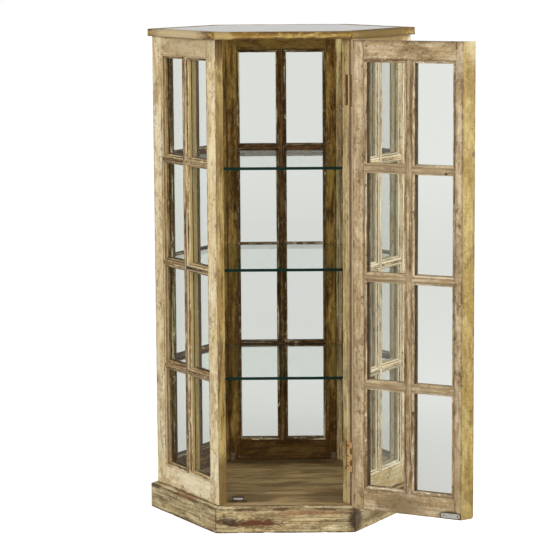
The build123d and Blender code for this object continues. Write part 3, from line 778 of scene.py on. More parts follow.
FLOOR_WOOD = WoodFinish(
    "aged_floor", (180, 153, 108), (146, 119, 78), (76, 54, 30), (46, 30, 16), (206, 182, 136),
    stains=0.4, blotches=0.05, streaks=0.08, chips=0.05, flakes=0.04, cracks=0.03,
    nail_holes=0.2, mottle=0.4, gloss=0.1, figure=(1.3, 0.4, 1.0),
    patches=(
        # Painted shade at the back and in three pools over the middle of the floor, and painted
        # light along its front.
        Patch((-0.06, 0.34, 0.092), (0.34, 0.11, 0.05), (58, 40, 20), 0.75),
        Patch((-0.12, -0.28, 0.09), (0.12, 0.08, 0.05), (84, 66, 40), 0.5),
        Patch((0.16, -0.26, 0.09), (0.12, 0.09, 0.05), (84, 66, 40), 0.5),
        Patch((0.04, -0.08, 0.09), (0.16, 0.05, 0.05), (92, 72, 42), 0.5),
        Patch((-0.02, -0.36, 0.09), (0.2, 0.03, 0.05), (208, 184, 140), 0.4),
    ),
)
RIM_WOOD = WoodFinish(
    "aged_rim", (185, 153, 78), (145, 111, 40), (86, 56, 16), GRIME, (224, 202, 138),
    blotches=0.4, chips=0.6, flakes=0.3, cracks=0.4, nail_holes=0.8,
    patches=(
        # Painted light on the left end and front-left corner of the rim, and painted shade on its
        # right end.
        Patch((-0.36, -0.2, 1.687), (0.16, 0.26, 0.06), (220, 199, 158), 0.75),
        Patch((-0.2, -0.41, 1.687), (0.04, 0.05, 0.05), (196, 172, 118), 0.5),
        Patch((0.36, -0.24, 1.687), (0.22, 0.28, 0.06), (100, 78, 26), 0.9),
    ),
)
BLOCK_WOOD = WoodFinish(
    "aged_block", (184, 152, 108), (158, 126, 84), (110, 80, 50), GRIME, (206, 182, 140)
)
BACK_GLASS = GlassFinish("back_glass", (218, 221, 216))
LEFT_GLASS = GlassFinish("left_glass", (234, 236, 232), bending=1.12)
RIGHT_GLASS = GlassFinish("right_glass", (241, 242, 238))
DOOR_GLASS = GlassFinish("door_glass", (226, 228, 224), passing=(252, 252, 251))
SHELF_GLASS = GlassFinish("shelf_glass", (232, 240, 235), ripple=0.0, bending=1.45)
TOP_GLASS = GlassFinish(
    "top_sheet_glass", (250, 252, 238), roughness=0.06, ripple=0.0, clearness=0.72, bending=1.65
)
GLASS_EDGE = PlainFinish("shelf_glass_edge", (10, 34, 28), (20, 52, 44), 0.0, 0.35, 0.05)
HINGE_RUST = RustFinish(
    "hinge_rust", (222, 184, 126), (194, 142, 84), (58, 34, 14), paint=0.95,
    knuckle_tone=(196, 160, 108),
)
KNUCKLE_RUST = replace(HINGE_RUST, name="knuckle_rust", knuckle_tone=(56, 30, 12))
PIN_RUST = RustFinish("pin_rust", (112, 74, 44), (78, 48, 28), (34, 22, 14), 0.3)
SCREW_RUST = RustFinish("screw_rust", (84, 52, 30), (60, 38, 24), (30, 20, 12), 0.3)
ZINC = PlainFinish("zinc_plate", (174, 171, 162), (130, 124, 110), 0.7, 0.35)
# Dark ferrite with painted shade, for the upper half of the catch's magnet.
FERRITE_AND_SHADE = PlainFinish("ferrite_and_shade", (74, 68, 60), (110, 102, 88), 0.2, 0.5)
SCREW_STEEL = PlainFinish("screw_steel", (116, 110, 100), (70, 62, 52), 0.5, 0.4)
# Painted shade for the strike plate's sides and a ring round its face, where its recess lies in
# shadow.
PLATE_EDGE_SHADE = PlainFinish("plate_edge_shade", (60, 50, 34), (92, 80, 58), 0.0, 0.7)
DULL_IRON = PlainFinish("dull_iron", (112, 100, 82), (70, 56, 40), 0.5, 0.4)
POLE_STEEL = PlainFinish("pole_steel", (214, 214, 210), (160, 158, 150), 1.0, 0.2)
CATCH_PLASTIC = PlainFinish("dark_plastic", (52, 42, 32), (104, 92, 74), 0.0, 0.35, 0.3)


# Meshes


def span_of(corners: Iterable, way: Vector) -> Span:
    """Return how far the corners of a mesh reach along a direction, low end first."""
    reach = [corner.co.dot(way) for corner in corners]
    return min(reach), max(reach)


def solids_of(mesh: bpy.types.Mesh) -> list[set[int]]:
    """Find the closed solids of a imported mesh, whose triangles follow each other solid by solid.

    Args:
        mesh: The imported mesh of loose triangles.

    Returns:
        The triangle numbers of each solid.
    """
    spots = [tuple(round(part * GRID) for part in vertex.co) for vertex in mesh.vertices]
    solids, current, open_edges = [], set(), set()
    for polygon in mesh.polygons:
        current.add(polygon.index)
        corners = [spots[i] for i in polygon.vertices]
        for start, end in zip(corners, corners[1:] + corners[:1]):
            open_edges ^= {(min(start, end), max(start, end))}
        if not open_edges:
            solids.append(current)
            current = set()
    return solids + [current] if current else solids


def copies_of(node: str) -> Iterator[Work]:
    """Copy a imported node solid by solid, with doubles merged and flat faces whole.

    Args:
        node: The node's name.

    Yields:
        A copy of each solid, which the caller frees.
    """
    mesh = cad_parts[node].data
    for solid in solids_of(mesh):
        work = bmesh.new()
        work.from_mesh(mesh)
        work.faces.ensure_lookup_table()
        others = [face for face in work.faces if face.index not in solid]
        bmesh.ops.delete(work, geom=others, context="FACES")
        bmesh.ops.remove_doubles(work, verts=work.verts, dist=WELD)
        bmesh.ops.dissolve_limit(work, angle_limit=FLAT, verts=work.verts, edges=work.edges)
        yield work


def creases_of(work: Work, angle: float) -> list[bmesh.types.BMEdge]:
    """Return the edges at which two faces turn by more than an angle in radians."""
    return [
        edge for edge in work.edges if len(edge.link_faces) == 2 and edge.calc_face_angle() > angle
    ]


def bevel(
    work: Work, edges: list[bmesh.types.BMEdge], radius: float, segments: int
) -> list[bmesh.types.BMFace]:
    """Round some edges.

    Args:
        work: The mesh that is changed.
        edges: The edges, which may be none.
        radius: How far the rounding reaches from each edge.
        segments: Number of steps across it.

    Returns:
        The new faces.
    """
    if not edges:
        return []
    return bmesh.ops.bevel(
        work, geom=edges, offset=radius, segments=segments, affect="EDGES", profile=0.5,
        material=-1, clamp_overlap=True,
    )["faces"]


def all_of(work: Work) -> list:
    """Return every corner, edge and face of a mesh."""
    return [*work.verts, *work.edges, *work.faces]


def cut(work: Work, geom: list, place: Vector, normal: Vector) -> dict[str, list]:
    """Cut faces, edges and corners along a plane and return what the operator made."""
    return bmesh.ops.bisect_plane(work, geom=geom, dist=CUT_REACH, plane_co=place, plane_no=normal)


def merge(whole: Work, work: Work) -> None:
    """Add one mesh to another and free it."""
    part = bpy.data.meshes.new("part")
    work.to_mesh(part)
    work.free()
    whole.from_mesh(part)
    bpy.data.meshes.remove(part)


def stand(
    name: str, work: Work, materials: Iterable[bpy.types.Material], smooth: float | None = None
) -> bpy.types.Object:
    """Make an object of a mesh and free the mesh.

    Args:
        name: The object's name.
        work: The mesh.
        materials: The materials of its slots.
        smooth: Angle in degrees up to which it is shaded smooth, or None for flat faces.

    Returns:
        The object.
    """
    mesh = bpy.data.meshes.new(name)
    work.to_mesh(mesh)
    work.free()
    for material in materials:
        mesh.materials.append(material)
    piece = bpy.data.objects.new(name, mesh)
    bpy.context.scene.collection.objects.link(piece)
    if smooth is not None:
        mesh.polygons.foreach_set("use_smooth", [True] * len(mesh.polygons))
        mesh.set_sharp_from_angle(angle=radians(smooth))
        piece.modifiers.new("flat_faces", "WEIGHTED_NORMAL").keep_sharp = True
    return piece


def settle(piece: bpy.types.Object, body: str, slot: str, *nodes: str) -> None:
    """Let a piece take its part in the cabinet, and log it.

    Args:
        piece: The new piece.
        body: The body that it rides on.
        slot: The record's material slot, which is not used.
        nodes: The nodes that it stands in for.
    """
    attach(piece, body)
    if nodes:
        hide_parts(*nodes)
    log.info("%s rides on %s with %d faces", piece.name, body, len(piece.data.polygons))


# Woodwork


class Grain(Enum):
    """Which way the boards of a piece run."""

    UPRIGHT = "upright"
    LEVEL = "level"
    LONGEST = "longest"


class Look(Enum):
    """The five ways in which the faces of a sash look."""

    OUTSIDE = 0
    ROOM = 1
    EDGE = 2
    SLOPE = 3
    WALL = 4

    @classmethod
    def of(cls, facing: float) -> "Look":
        """Sort a face.

        Args:
            facing: How far it faces out of the cabinet, from -1 to 1.

        Returns:
            Its look.
        """
        if abs(facing) < 0.2:
            return cls.WALL
        bounds = ((0.8, cls.OUTSIDE), (0.6, cls.SLOPE), (-0.7, cls.EDGE))
        return next((look for bound, look in bounds if facing > bound), cls.ROOM)


class Mark(IntEnum):
    """What a face of a board has become; its number is kept in the layer "arris"."""

    PLAIN = 0
    ROUNDED = 1
    SUNK = 2


@dataclass(frozen=True)
class Wear:
    """How far time has rounded and waved a board."""

    corner: float = 0.0006
    moulding: float = 0.0022
    segments: int = 2
    cut_every: float = 0.018
    wave: float = 0.0006
    nick: float = 0.0022
    pale_corners: bool = True
    crease: float = 0.6  # corners that turn by more radians are rounded
    waves: Span = (21, 47)  # of the soft wear and of the nicks, per metre
    nick_from: float = 0.25  # how strong the second wave is where a nick begins
    narrowest: float = 0.006  # width of the narrowest slope with a hollow
    hollow: tuple[Span, ...] = (
        (0.25, 0.0), (0.38, 0.0011), (0.5, 0.0015), (0.62, 0.0011), (0.75, 0.0)
    )  # shares of a slope's width, and how deep it is sunk there


@dataclass
class Board:
    """One board, with the directions of its wood and out of the cabinet."""

    work: Work
    run: Vector
    outward: Vector
    wear: Wear
    seed: int
    sloped: Span = (0.4, 0.9)  # how far the faces of a moulding look outwards
    straight: float = 0.99  # how far a roll follows the wood
    bend: float = 0.3  # least turn at a roll, in radians
    nicked: float = 0.2  # least turn at a corner that gets nicks
    stock: float = 40.0  # size of the pattern that boards are drawn from

    def rolls(self) -> list[bmesh.types.BMEdge]:
        """Find the edges that run along the slopes of the moulding.

        Returns:
            The edges.
        """
        low, high = self.sloped
        slopes = [f for f in self.work.faces if low < f.normal.dot(self.outward) < high]
        return [
            edge for edge in {edge for face in slopes for edge in face.edges}
            if abs((edge.verts[0].co - edge.verts[1].co).normalized().dot(self.run)) > self.straight
            and edge.calc_face_angle(0.0) > self.bend
        ]

    def heel(self) -> list[bmesh.types.BMEdge]:
        """Find the lower edges of the outer face.

        Returns:
            The edges.
        """
        ground = span_of(self.work.verts, UP)[0] + NEAR
        return [
            edge for edge in self.work.edges
            if all(vertex.co.z < ground for vertex in edge.verts)
            and any(face.normal.dot(self.outward) > SQUARE for face in edge.link_faces)
        ]

    def ease(self, edges: list[bmesh.types.BMEdge], radius: float, segments: int) -> None:
        """Round some edges and mark the new faces."""
        arris = self.work.faces.layers.int["arris"]
        for face in bevel(self.work, edges, radius, segments):
            face[arris] = Mark.ROUNDED

    def carve(self) -> None:
        """Sink a hollow between the two rolls of each moulded slope."""
        arris = self.work.faces.layers.int["arris"]
        first, last = self.wear.hollow[0][0], self.wear.hollow[-1][0]
        slopes = [
            face for face in self.work.faces
            if not face[arris] and Look.of(face.normal.dot(self.outward)) is Look.SLOPE
        ]
        for slope in slopes:
            inward = -slope.normal.copy()
            fall = inward.cross(self.run).normalized()
            low, high = span_of(slope.verts, fall)
            width = high - low
            if width < self.wear.narrowest:
                continue
            parts = [slope, *slope.edges, *slope.verts]
            sunk = []
            for share, depth in self.wear.hollow:
                made = cut(self.work, parts, fall * (low + width * share), fall)
                parts = made["geom"]
                if depth:
                    line = made["geom_cut"]
                    sunk += [(part, depth) for part in line if isinstance(part, bmesh.types.BMVert)]
            for face in parts:
                if isinstance(face, bmesh.types.BMFace):
                    share = (face.calc_center_median().dot(fall) - low) / width
                    face[arris] = Mark.SUNK if first < share < last else Mark.ROUNDED
            for vertex, depth in sunk:
                vertex.co += inward * depth

    def wear_away(self, box: list[Span]) -> None:
        """Wear the surface away in waves, and nick the corners.

        Args:
            box: How far the board may reach along each axis.
        """
        self.work.normal_update()
        shift = self.seed * 0.37
        soft_wave, hard_wave = self.wear.waves
        moves = []
        for vertex in self.work.verts:
            soft = 0.5 + 0.5 * noise.noise(vertex.co * soft_wave + Vector((shift, 0, 0)))
            hard = noise.noise(vertex.co * hard_wave + Vector((0, shift, 0)))
            hard = max(0.0, hard - self.wear.nick_from)
            corner = max((edge.calc_face_angle(0.0) for edge in vertex.link_edges), default=0.0)
            depth = self.wear.wave * soft + (self.wear.nick * hard if corner > self.nicked else 0.0)
            moves.append(-vertex.normal * depth)
        for vertex, move in zip(self.work.verts, moves):
            moved = vertex.co + move
            vertex.co = [min(max(part, low), high) for part, (low, high) in zip(moved, box)]

    def weather(self, foot: float) -> None:
        """Work the moulding, round the corners and wear the board, always inwards.

        Args:
            foot: Radius of the worn lower edge, or 0 for none.
        """
        self.work.faces.layers.int.new("arris")
        self.ease(self.rolls(), self.wear.moulding, 3)
        box = [span_of(self.work.verts, axis) for axis in Matrix.Identity(3)]
        if foot:
            bevel(self.work, self.heel(), foot, 4)
        self.ease(creases_of(self.work, self.wear.crease), self.wear.corner, self.wear.segments)
        self.carve()
        low, high = span_of(self.work.verts, self.run)
        cuts = int((high - low) / self.wear.cut_every)
        for i in range(1, cuts):
            cut(self.work, all_of(self.work), self.run * (low + (high - low) * i / cuts), self.run)
        self.wear_away(box)

    def mark_grain(self) -> None:
        """Write where each point lies in the wood, along, across and through the board."""
        chance = random.Random(self.seed)
        start = Vector([chance.uniform(0, self.stock) for _ in range(3)])
        axes = (self.run, self.run.cross(self.outward).normalized(), self.outward)
        grain = self.work.verts.layers.float_vector.new("grain")
        for vertex in self.work.verts:
            vertex[grain] = start + Vector([vertex.co.dot(axis) for axis in axes])

    def mark_margins(self, beads: bool, opening: Span | None) -> None:
        """Write how far each corner lies from the sides of its face and the end of the board.

        Args:
            beads: Whether only the joint with the frame counts on a sloping face.
            opening: Heights between which the sides count, or None for everywhere.
        """
        low, high = span_of(self.work.verts, self.run)
        margin = self.work.loops.layers.float_vector.new("margin")
        arris = self.work.faces.layers.int["arris"]
        worn = {Mark.ROUNDED: Vector((1, 1, 2)), Mark.SUNK: Vector((0.003, 1, 1))}
        for face in self.work.faces:
            if face[arris] and self.wear.pale_corners:
                for loop in face.loops:
                    loop[margin] = worn[face[arris]]
                continue
            side = face.normal.cross(self.run)
            if side.length < 0.3:
                side = self.run.cross(self.outward).normalized()
            tilt = face.normal - self.outward * face.normal.dot(self.outward)
            joint_only = beads and 0.2 < tilt.length < 0.9
            side = (-tilt if joint_only else side).normalized()
            spans = [loop.vert.co.dot(side) for loop in face.loops]
            left, right = min(spans) - float(joint_only), max(spans)
            for loop, span in zip(face.loops, spans):
                place = loop.vert.co.dot(self.run)
                end = min(place - low, high - place)
                if opening and not opening[0] < loop.vert.co.z < opening[1]:
                    loop[margin] = Vector((1, 1, end))
                else:
                    loop[margin] = Vector((span - left, right - span, end))


@dataclass
class Joiner:
    """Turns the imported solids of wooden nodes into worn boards."""

    wear: Wear = Wear()
    beads: bool = False
    opening: Span | None = None
    foot: float = 0.0

    def heading_of(self, work: Work) -> float:
        """Return the side that a board of a ring stands on, in degrees from the front."""
        middle = sum((vertex.co for vertex in work.verts), Vector()) / len(work.verts)
        return round((degrees(atan2(middle.y, middle.x)) + 90) / 60) * 60

    def run_of(self, work: Work, along: Vector, grain: Grain) -> Vector:
        """Find the direction in which the wood of a board runs.

        Args:
            work: The board's mesh.
            along: The level direction along its side of the cabinet.
            grain: Which way the boards of its piece run.

        Returns:
            The direction.
        """
        if grain is not Grain.LONGEST:
            return along if grain is Grain.LEVEL else UP
        (left, right), (low, high) = span_of(work.verts, along), span_of(work.verts, UP)
        return along if right - left > high - low else UP

    def dress(
        self, node: str, body: str, slot: str, grain: Grain,
        looks: dict[Look, WoodFinish], heading: float | None,
    ) -> None:
        """Stand worn boards in for a wooden node.

        Args:
            node: The node's name.
            body: The body that it rides on.
            slot: The record's material slot.
            grain: Which way its boards run.
            looks: The finish of each look.
            heading: The side it stands on, in degrees from the front, or None for a ring of boards.
        """
        whole = bmesh.new()
        name_sum = sum(ord(letter) * (i + 3) for i, letter in enumerate(node))
        for number, work in enumerate(copies_of(node)):
            turn = radians(self.heading_of(work) if heading is None else heading)
            outward = Vector((sin(turn), -cos(turn), 0))
            run = self.run_of(work, Vector((cos(turn), sin(turn), 0)), grain)
            for face in work.faces:
                look = Look.of(face.normal.dot(outward))
                if look is Look.WALL and self.beads and abs(run.z) < 0.5:
                    look = Look.ROOM
                face.material_index = look.value
            board = Board(work, run, outward, self.wear, name_sum + 97 * number)
            board.weather(self.foot)
            board.mark_grain()
            board.mark_margins(self.beads, self.opening)
            merge(whole, work)
        piece = stand(f"{node}_worn", whole, [looks[look].make() for look in Look], smooth=40)
        settle(piece, body, slot, node)


def dress_hardware(
    node: str, body: str, slot: str, corner: float, *finishes: Finish
) -> bpy.types.Object:
    """Stand a copy with eased corners in for a node of metal, plastic or glass.

    Args:
        node: The node's name.
        body: The body that it rides on.
        slot: The record's material slot.
        corner: Radius of the eased corners.
        finishes: Its finish, and those that some of its faces get later.

    Returns:
        The new piece.
    """
    whole = bmesh.new()
    for work in copies_of(node):
        bevel(work, creases_of(work, HARD_CREASE), corner, 2)
        merge(whole, work)
    piece = stand(f"{node}_finished", whole, [finish.make() for finish in finishes], smooth=32)
    settle(piece, body, slot, node)
    return piece


# Sub-assemblies


@dataclass
class WindowSash:
    """One old window sash stood on end."""

    name: str
    heading: float
    body: str = CABINET
    slot: str = "sash_wood"
    outside: WoodFinish = OUTSIDE_WOOD
    moulding: WoodFinish = OUTSIDE_MOULDING
    room: WoodFinish = ROOM_WOOD
    bar: WoodFinish = ROOM_BAR_WOOD
    bead: WoodFinish = ROOM_BEAD_WOOD
    edge: WoodFinish = JAMB_WOOD
    wall: WoodFinish = WALL_WOOD
    reveal: WoodFinish = ROOM_BEAD_WOOD
    glass: GlassFinish = LEFT_GLASS
    plain_joints: bool = True
    foot: float = 0.0

    def build(self) -> None:
        """Dress the frame, the bars, the beads and the glass."""
        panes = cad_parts[f"{self.name}_panes"].data
        opening = span_of(panes.vertices, UP)
        stile_looks = {
            Look.OUTSIDE: self.outside, Look.ROOM: self.room, Look.EDGE: self.edge,
            Look.SLOPE: self.moulding, Look.WALL: self.wall,
        }
        outer = dict.fromkeys((Look.OUTSIDE, Look.EDGE, Look.SLOPE), self.moulding)
        bar_looks = outer | {Look.ROOM: self.bar, Look.WALL: self.wall}
        bead_looks = dict.fromkeys(Look, self.bead) | {Look.WALL: self.reveal}
        plain, footed = Joiner(), Joiner(foot=self.foot)
        shouldered = replace(footed, opening=opening if self.plain_joints else None)
        beader = Joiner(Wear(segments=1, cut_every=0.02, nick=0.002), beads=True)
        for part, slot, grain, looks, joiner in (
            ("left_stile", self.slot, Grain.UPRIGHT, stile_looks, shouldered),
            ("right_stile", self.slot, Grain.UPRIGHT, stile_looks, shouldered),
            ("top_rail", self.slot, Grain.LEVEL, stile_looks, plain),
            ("bottom_rail", self.slot, Grain.LEVEL, stile_looks, footed),
            ("glazing_bars", self.slot, Grain.LONGEST, bar_looks, plain),
            ("beads", "bead_wood", Grain.LONGEST, bead_looks, beader),
        ):
            joiner.dress(f"{self.name}_{part}", self.body, slot, grain, looks, self.heading)
        panes.materials.clear()
        panes.materials.append(self.glass.make())
        log.info("%s_panes glazed", self.name)


@dataclass
class Plinth:
    """The boards that the cabinet stands on, with the floor and the blocks behind them."""

    wear: Wear = Wear(
        corner=0.0025, segments=3, cut_every=0.014, wave=0.0012, nick=0.006, pale_corners=False
    )

    def build(self) -> None:
        """Dress the boards, the floor and the corner blocks."""
        for node, slot, grain, finish, heading in (
            ("plinth_boards", "plinth_wood", Grain.LEVEL, PLINTH_WOOD, None),
            ("floor_board", "floor_wood", Grain.LEVEL, FLOOR_WOOD, 0.0),
            ("plinth_corner_blocks", "block_wood", Grain.UPRIGHT, BLOCK_WOOD, None),
        ):
            looks = dict.fromkeys(Look, finish)
            Joiner(self.wear).dress(node, CABINET, slot, grain, looks, heading)


@dataclass
class TopRim:
    """The rails round the top and the sheet of glass in them."""

    wear: Wear = Wear(corner=0.0018, cut_every=0.014, wave=0.001, nick=0.005, pale_corners=False)

    def build(self) -> None:
        """Dress the rails and the glass."""
        looks = dict.fromkeys(Look, RIM_WOOD)
        Joiner(self.wear).dress("top_rim_rails", CABINET, "rim_wood", Grain.LEVEL, looks, None)
        GlassSheet("top_glass", TOP_GLASS).build()


@dataclass
class GlassSheet:
    """A sheet of glass with polished faces and dark green edges."""

    node: str
    glass: GlassFinish = SHELF_GLASS
    corner: float = 0.001

    def build(self) -> None:
        """Dress the sheet and its edges."""
        sheet = dress_hardware(
            self.node, CABINET, "sheet_glass", self.corner, self.glass, GLASS_EDGE
        )
        for polygon in sheet.data.polygons:
            polygon.material_index = int(abs(polygon.normal.z) <= SQUARE)


@dataclass(frozen=True)
class ScrewHead:
    """A low slotted screw head."""

    radius: float = 0.0041
    dome: float = 0.0006
    sides: int = 16
    taper: float = 0.8  # the flat top, as a share of the radius
    rim: float = 0.2  # distance of the slot's ends from its edge, likewise
    slot: float = 0.22  # the slot's width, as a share of its length
    sunk: float = 0.9  # its depth, as a share of the dome

    def add(self, work: Work, place: Matrix) -> None:
        """Add one head to a mesh.

        Args:
            work: The mesh.
            place: Where the head lies, with its Z out of the surface.
        """
        made = bmesh.ops.create_cone(
            work, cap_ends=True, segments=self.sides, radius1=self.radius,
            radius2=self.radius * self.taper, depth=self.dome,
            matrix=place @ Matrix.Translation(UP * self.dome / 2),
        )
        facing = place.to_3x3() @ UP
        faces = {face for vertex in made["verts"] for face in vertex.link_faces}
        caps = [face for face in faces if len(face.verts) == self.sides]
        top = max(caps, key=lambda face: face.calc_center_median().dot(facing))
        bmesh.ops.inset_region(work, faces=[top], thickness=self.radius * self.rim, depth=0.0)
        corners = list(top.verts)
        narrow = place @ Matrix.Diagonal((1, self.slot, 1, 1)) @ place.inverted()
        bmesh.ops.transform(work, matrix=narrow, verts=corners)
        bmesh.ops.translate(work, verts=corners, vec=facing * -self.dome * self.sunk)

    def drive(
        self, places: list[Matrix], name: str, body: str, slot: str, finish: Finish
    ) -> None:
        """Turn a head at each place into one piece.

        Args:
            places: Where the heads lie.
            name: The piece's name.
            body: The body that it rides on.
            slot: The record's material slot.
            finish: Its finish.
        """
        work = bmesh.new()
        for place in places:
            self.add(work, place)
        settle(stand(name, work, [finish.make()], smooth=30), body, slot)


def head_place(spot: Vector, facing: Vector, tilt: float) -> Matrix:
    """Place a screw head.

    Args:
        spot: Where it lies.
        facing: The way that it looks.
        tilt: How far its slot is turned, in degrees.

    Returns:
        The place, with its Z along the facing direction.
    """
    turn = facing.to_track_quat("Z", "Y").to_matrix().to_4x4()
    return Matrix.Translation(spot) @ turn @ Matrix.Rotation(radians(tilt), 4, "Z")


@dataclass
class ButtHinges:
    """Two rusted hinges at the front right corner, with their screws."""

    corner: Span = (0.225, -0.389711)
    heights: Span = (0.259, 1.504)
    length: float = 0.102
    middle: float = 0.001
    leaf_play: float = 0.0003
    eased: float = 0.0003
    screw_line: float = 0.0185
    screw_margin: float = 0.016
    screw_count: int = 3
    tilts: Span = (37, 20)  # degrees by which a slot turns from screw to screw and side to side
    head: ScrewHead = ScrewHead(dome=0.00012)

    def places(self, side: int) -> list[Matrix]:
        """Find the places of the screws in both hinges.

        Args:
            side: -1 for the frame leaves, 1 for the door leaves.

        Returns:
            A place for each screw, as it is with the door open.
        """
        inward = Vector((-cos(radians(60)), sin(radians(60)), 0))
        across = UP.cross(inward)
        step, lead = self.tilts
        spacing = (self.length - 2 * self.screw_margin) / (self.screw_count - 1)
        pin = Vector((*PIN, 0))
        swing = Matrix.Translation(pin) @ Matrix.Rotation(radians(DOOR_OPEN), 4, "Z")
        swing @= Matrix.Translation(-pin)
        found = []
        for height in self.heights:
            for i in range(self.screw_count):
                level = height - self.length / 2 + self.screw_margin + i * spacing
                spot = Vector((*self.corner, level)) + inward * self.screw_line
                spot += across * (self.middle + side * self.leaf_play / 2)
                place = head_place(spot, across * -side, step * i + lead * side)
                found.append(swing @ place if side > 0 else place)
        return found

    def build(self) -> None:
        """Dress the leaves and pins and add the screw heads."""
        for node, body, finish in (
            ("hinge_frame_leaves", CABINET, HINGE_RUST),
            ("hinge_door_leaves", DOOR, KNUCKLE_RUST),
            ("hinge_pins", CABINET, PIN_RUST),
        ):
            dress_hardware(node, body, "rusty_iron", self.eased, finish)
        for side, body, name in (-1, CABINET, "hinge_frame_screws"), (1, DOOR, "hinge_door_screws"):
            self.head.drive(self.places(side), name, body, "rusty_iron", SCREW_RUST)


@dataclass
class SmallHardware:
    """The catch on the floor, the strike plate, the shelf rests and the floor brackets."""

    head: ScrewHead = ScrewHead(radius=0.0028, dome=0.0005)
    inset: float = 0.012
    tilts: Span = (25, 70)
    # width of the ring of painted shade round the strike plate's face
    rim_shade_width: float = 0.0021

    def places(self, node: str, facing: Vector, spread: Vector) -> list[Matrix]:
        """Find the places of two screws, near both ends of a piece's face.

        Args:
            node: The node that the screws hold.
            facing: The way that the face looks.
            spread: The direction from one screw to the other.

        Returns:
            A place for each screw.
        """
        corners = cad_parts[node].data.vertices
        level = span_of(corners, facing)[1]
        across = facing.cross(spread)
        face = [corner for corner in corners if corner.co.dot(facing) > level - NEAR]
        middle = across * sum(span_of(face, across)) / 2 + facing * level
        first, last = span_of(corners, spread)
        ends = (first + self.inset, last - self.inset)
        return [
            head_place(middle + spread * end, facing, tilt) for end, tilt in zip(ends, self.tilts)
        ]

    def build(self) -> None:
        """Dress every small piece and drive in the screws of the strike plate."""
        turn = radians(DOOR_OPEN)
        along = Vector((cos(turn), sin(turn), 0))
        room = Vector((-sin(turn), cos(turn), 0))
        # The strike plate's sides and a ring round its face get painted shade.
        plate = dress_hardware("strike_plate", DOOR, "bright_steel", 0.0004, ZINC, PLATE_EDGE_SHADE)
        self.paint_rim_shade(plate, room)
        for node, slot, corner, finish in (
            ("catch_housing", "catch_plastic", 0.0006, CATCH_PLASTIC),
            ("shelf_rests", "bright_steel", 0.0003, ZINC),
            ("floor_brackets", "bright_steel", 0.0003, DULL_IRON),
        ):
            dress_hardware(node, CABINET, slot, corner, finish)
        self.split_magnet(
            dress_hardware("catch_magnet", CABINET, "magnet_steel", 0.0002, POLE_STEEL, FERRITE_AND_SHADE)
        )
        places = self.places("strike_plate", room, along)
        self.head.drive(places, "strike_plate_screws", DOOR, "bright_steel", SCREW_STEEL)

    def paint_rim_shade(self, plate: bpy.types.Object, facing: Vector) -> None:
        """Paint a ring of shade round the face of a plate, as the shadow of its recess.

        Args:
            plate: The plate, with the painted shade as its second material.
            facing: The way that its face looks.
        """
        work = bmesh.new()
        work.from_mesh(plate.data)
        work.normal_update()
        for face in work.faces:
            face.material_index = int(face.normal.dot(facing) < 0.95)
        fronts = [face for face in work.faces if not face.material_index]
        made = bmesh.ops.inset_region(
            work, faces=fronts, thickness=self.rim_shade_width, use_even_offset=True
        )
        for face in made["faces"]:
            face.material_index = 1
        work.to_mesh(plate.data)
        work.free()

    def split_magnet(self, magnet: bpy.types.Object) -> None:
        """Darken a magnet above its middle with dark ferrite and painted shade, so that the lower
        part shines alone.

        Args:
            magnet: The magnet, with the dark ferrite and painted shade as its second material.
        """
        middle = sum(span_of(magnet.data.vertices, UP)) / 2
        work = bmesh.new()
        work.from_mesh(magnet.data)
        cut(work, all_of(work), UP * middle, UP)
        for face in work.faces:
            face.material_index = int(face.calc_center_median().z > middle)
        work.to_mesh(magnet.data)
        work.free()


# Studio


@dataclass(frozen=True)
class Lamp:
    """A square soft lamp that looks at the middle of the cabinet."""

    name: str
    place: Triple
    size: float
    power: float
    warmth: Triple = (1.0, 0.99, 0.965)
    target: Triple = (0, 0, 0.85)

    def hang(self) -> None:
        """Hang the lamp in the studio."""
        data = bpy.data.lights.new(self.name, "AREA")
        data.shape = "SQUARE"
        data.size = self.size
        data.energy = self.power
        data.color = self.warmth
        lamp = bpy.data.objects.new(self.name, data)
        aim = Vector(self.target) - Vector(self.place)
        turn = aim.to_track_quat("-Z", "Y").to_matrix().to_4x4()
        lamp.matrix_world = Matrix.Translation(self.place) @ turn
        bpy.context.scene.collection.objects.link(lamp)


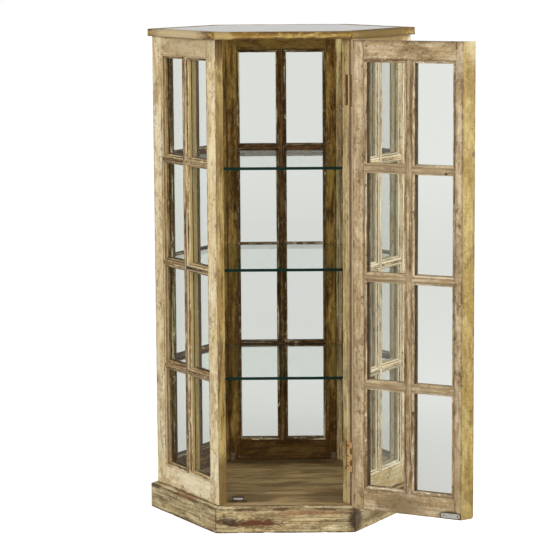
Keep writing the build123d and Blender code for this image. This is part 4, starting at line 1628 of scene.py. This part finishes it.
@dataclass
class Studio:
    """The pale floor, the lamps and the camera."""

    camera_place: Triple = (-0.06631, -8.26665, 1.96732)
    yaw: float = 0.0068
    pitch: float = 0.1387
    roll: float = -0.0061
    lens: float = 151.875
    sensor: float = 36.0
    sight: float = 200.0  # how far it sees
    floor_radius: float = 60.0
    sky_light: float = 0.42
    sky_seen: float = 0.58  # added where the sky itself is seen
    sky_mirrored: float = 0.2  # added where it is mirrored
    lamps: tuple[Lamp, ...] = (
        Lamp("left_lamp", (-2.9, -4.9, 2.7), 2.4, 168),
        Lamp("right_lamp", (4.9, -2.7, 2.4), 2.4, 170),
        Lamp("front_lamp", (0.9, -5.6, 3.6), 3.0, 75),
        Lamp("side_lamp", (4.4, 0.3, 2.0), 2.0, 78),
    )

    def place_camera(self) -> None:
        """Stand the camera where the photograph was taken."""
        flat = cos(self.pitch)
        ahead = Vector((sin(self.yaw) * flat, cos(self.yaw) * flat, -sin(self.pitch)))
        level = Vector((cos(self.yaw), -sin(self.yaw), 0))
        upright = level.cross(ahead)
        right = cos(self.roll) * level + sin(self.roll) * upright
        up = -sin(self.roll) * level + cos(self.roll) * upright
        data = bpy.data.cameras.new("camera")
        data.lens = self.lens
        data.sensor_width = self.sensor
        data.clip_end = self.sight
        camera = bpy.data.objects.new("camera", data)
        turn = Matrix((right, up, -ahead)).transposed().to_4x4()
        camera.matrix_world = Matrix.Translation(self.camera_place) @ turn
        bpy.context.scene.collection.objects.link(camera)
        bpy.context.scene.camera = camera

    def lay_floor(self) -> None:
        """Lay a round floor out of sight of its rim."""
        work = bmesh.new()
        bmesh.ops.create_circle(work, cap_ends=True, segments=96, radius=self.floor_radius)
        floor = stand("studio_floor", work, [FloorFinish("studio_floor").make()])

    def light_world(self) -> None:
        """Surround the studio with soft grey light, seen as white."""
        world = bpy.data.worlds.new("studio")
        bpy.context.scene.world = world
        world.use_nodes = True
        desk = NodeDesk(world.node_tree)
        rays = desk.add("LightPath").outputs
        seen = desk.math("MAXIMUM", rays["Is Camera Ray"], rays["Is Transmission Ray"])
        level = desk.math("MULTIPLY_ADD", seen, self.sky_seen, self.sky_light)
        level = desk.math("MULTIPLY_ADD", rays["Is Glossy Ray"], self.sky_mirrored, level)
        inputs = {"Color": (1, 1, 1, 1), "Strength": desk.math("MINIMUM", level, 1.0)}
        sky = desk.add("Background", inputs).outputs[0]
        desk.add("OutputWorld", {"Surface": sky})

    def build(self) -> None:
        """Set up everything round the cabinet."""
        bpy.context.scene.view_settings.view_transform = "Standard"
        self.light_world()
        self.lay_floor()
        for lamp in self.lamps:
            lamp.hang()
        self.place_camera()


def main() -> None:
    """Build the cabinet's looks in order, then the studio."""
    logging.basicConfig(level=logging.INFO, format="%(name)s: %(message)s")
    make_timber_group()
    make_patch_group()
    make_rust_group()
    for assembly in (
        WindowSash(
            "right_front", 60.0, outside=RIGHT_OUTSIDE_WOOD, moulding=RIGHT_OUTSIDE_MOULDING,
            edge=RIGHT_JAMB_WOOD, wall=RIGHT_BEAD_WOOD, bead=RIGHT_BEAD_WOOD,
            reveal=RIGHT_BEAD_WOOD, glass=RIGHT_GLASS,
        ),
        WindowSash("right_back", 120.0, room=SUNNY_ROOM_WOOD, glass=RIGHT_GLASS),
        WindowSash("back", 180.0, room=BACK_ROOM_WOOD, glass=BACK_GLASS),
        WindowSash("left_back", 240.0),
        WindowSash("left_front", 300.0, wall=LEFT_WALL_WOOD, reveal=LEFT_REVEAL_WOOD),
        WindowSash(
            "door", DOOR_OPEN, body=DOOR, slot="door_wood", room=DOOR_ROOM_WOOD,
            bar=DOOR_BAR_WOOD, bead=DOOR_BEAD_WOOD, edge=DOOR_EDGE_WOOD,
            reveal=DOOR_REVEAL_WOOD, glass=DOOR_GLASS, plain_joints=False, foot=0.009,
        ),
        Plinth(),
        TopRim(),
        *(GlassSheet(f"{level}_shelf") for level in ("upper", "middle", "lower")),
        ButtHinges(),
        SmallHardware(),
        Studio(),
    ):
        assembly.build()
        log.info("%s is done", type(assembly).__name__)


if __name__ == "__main__":
    main()
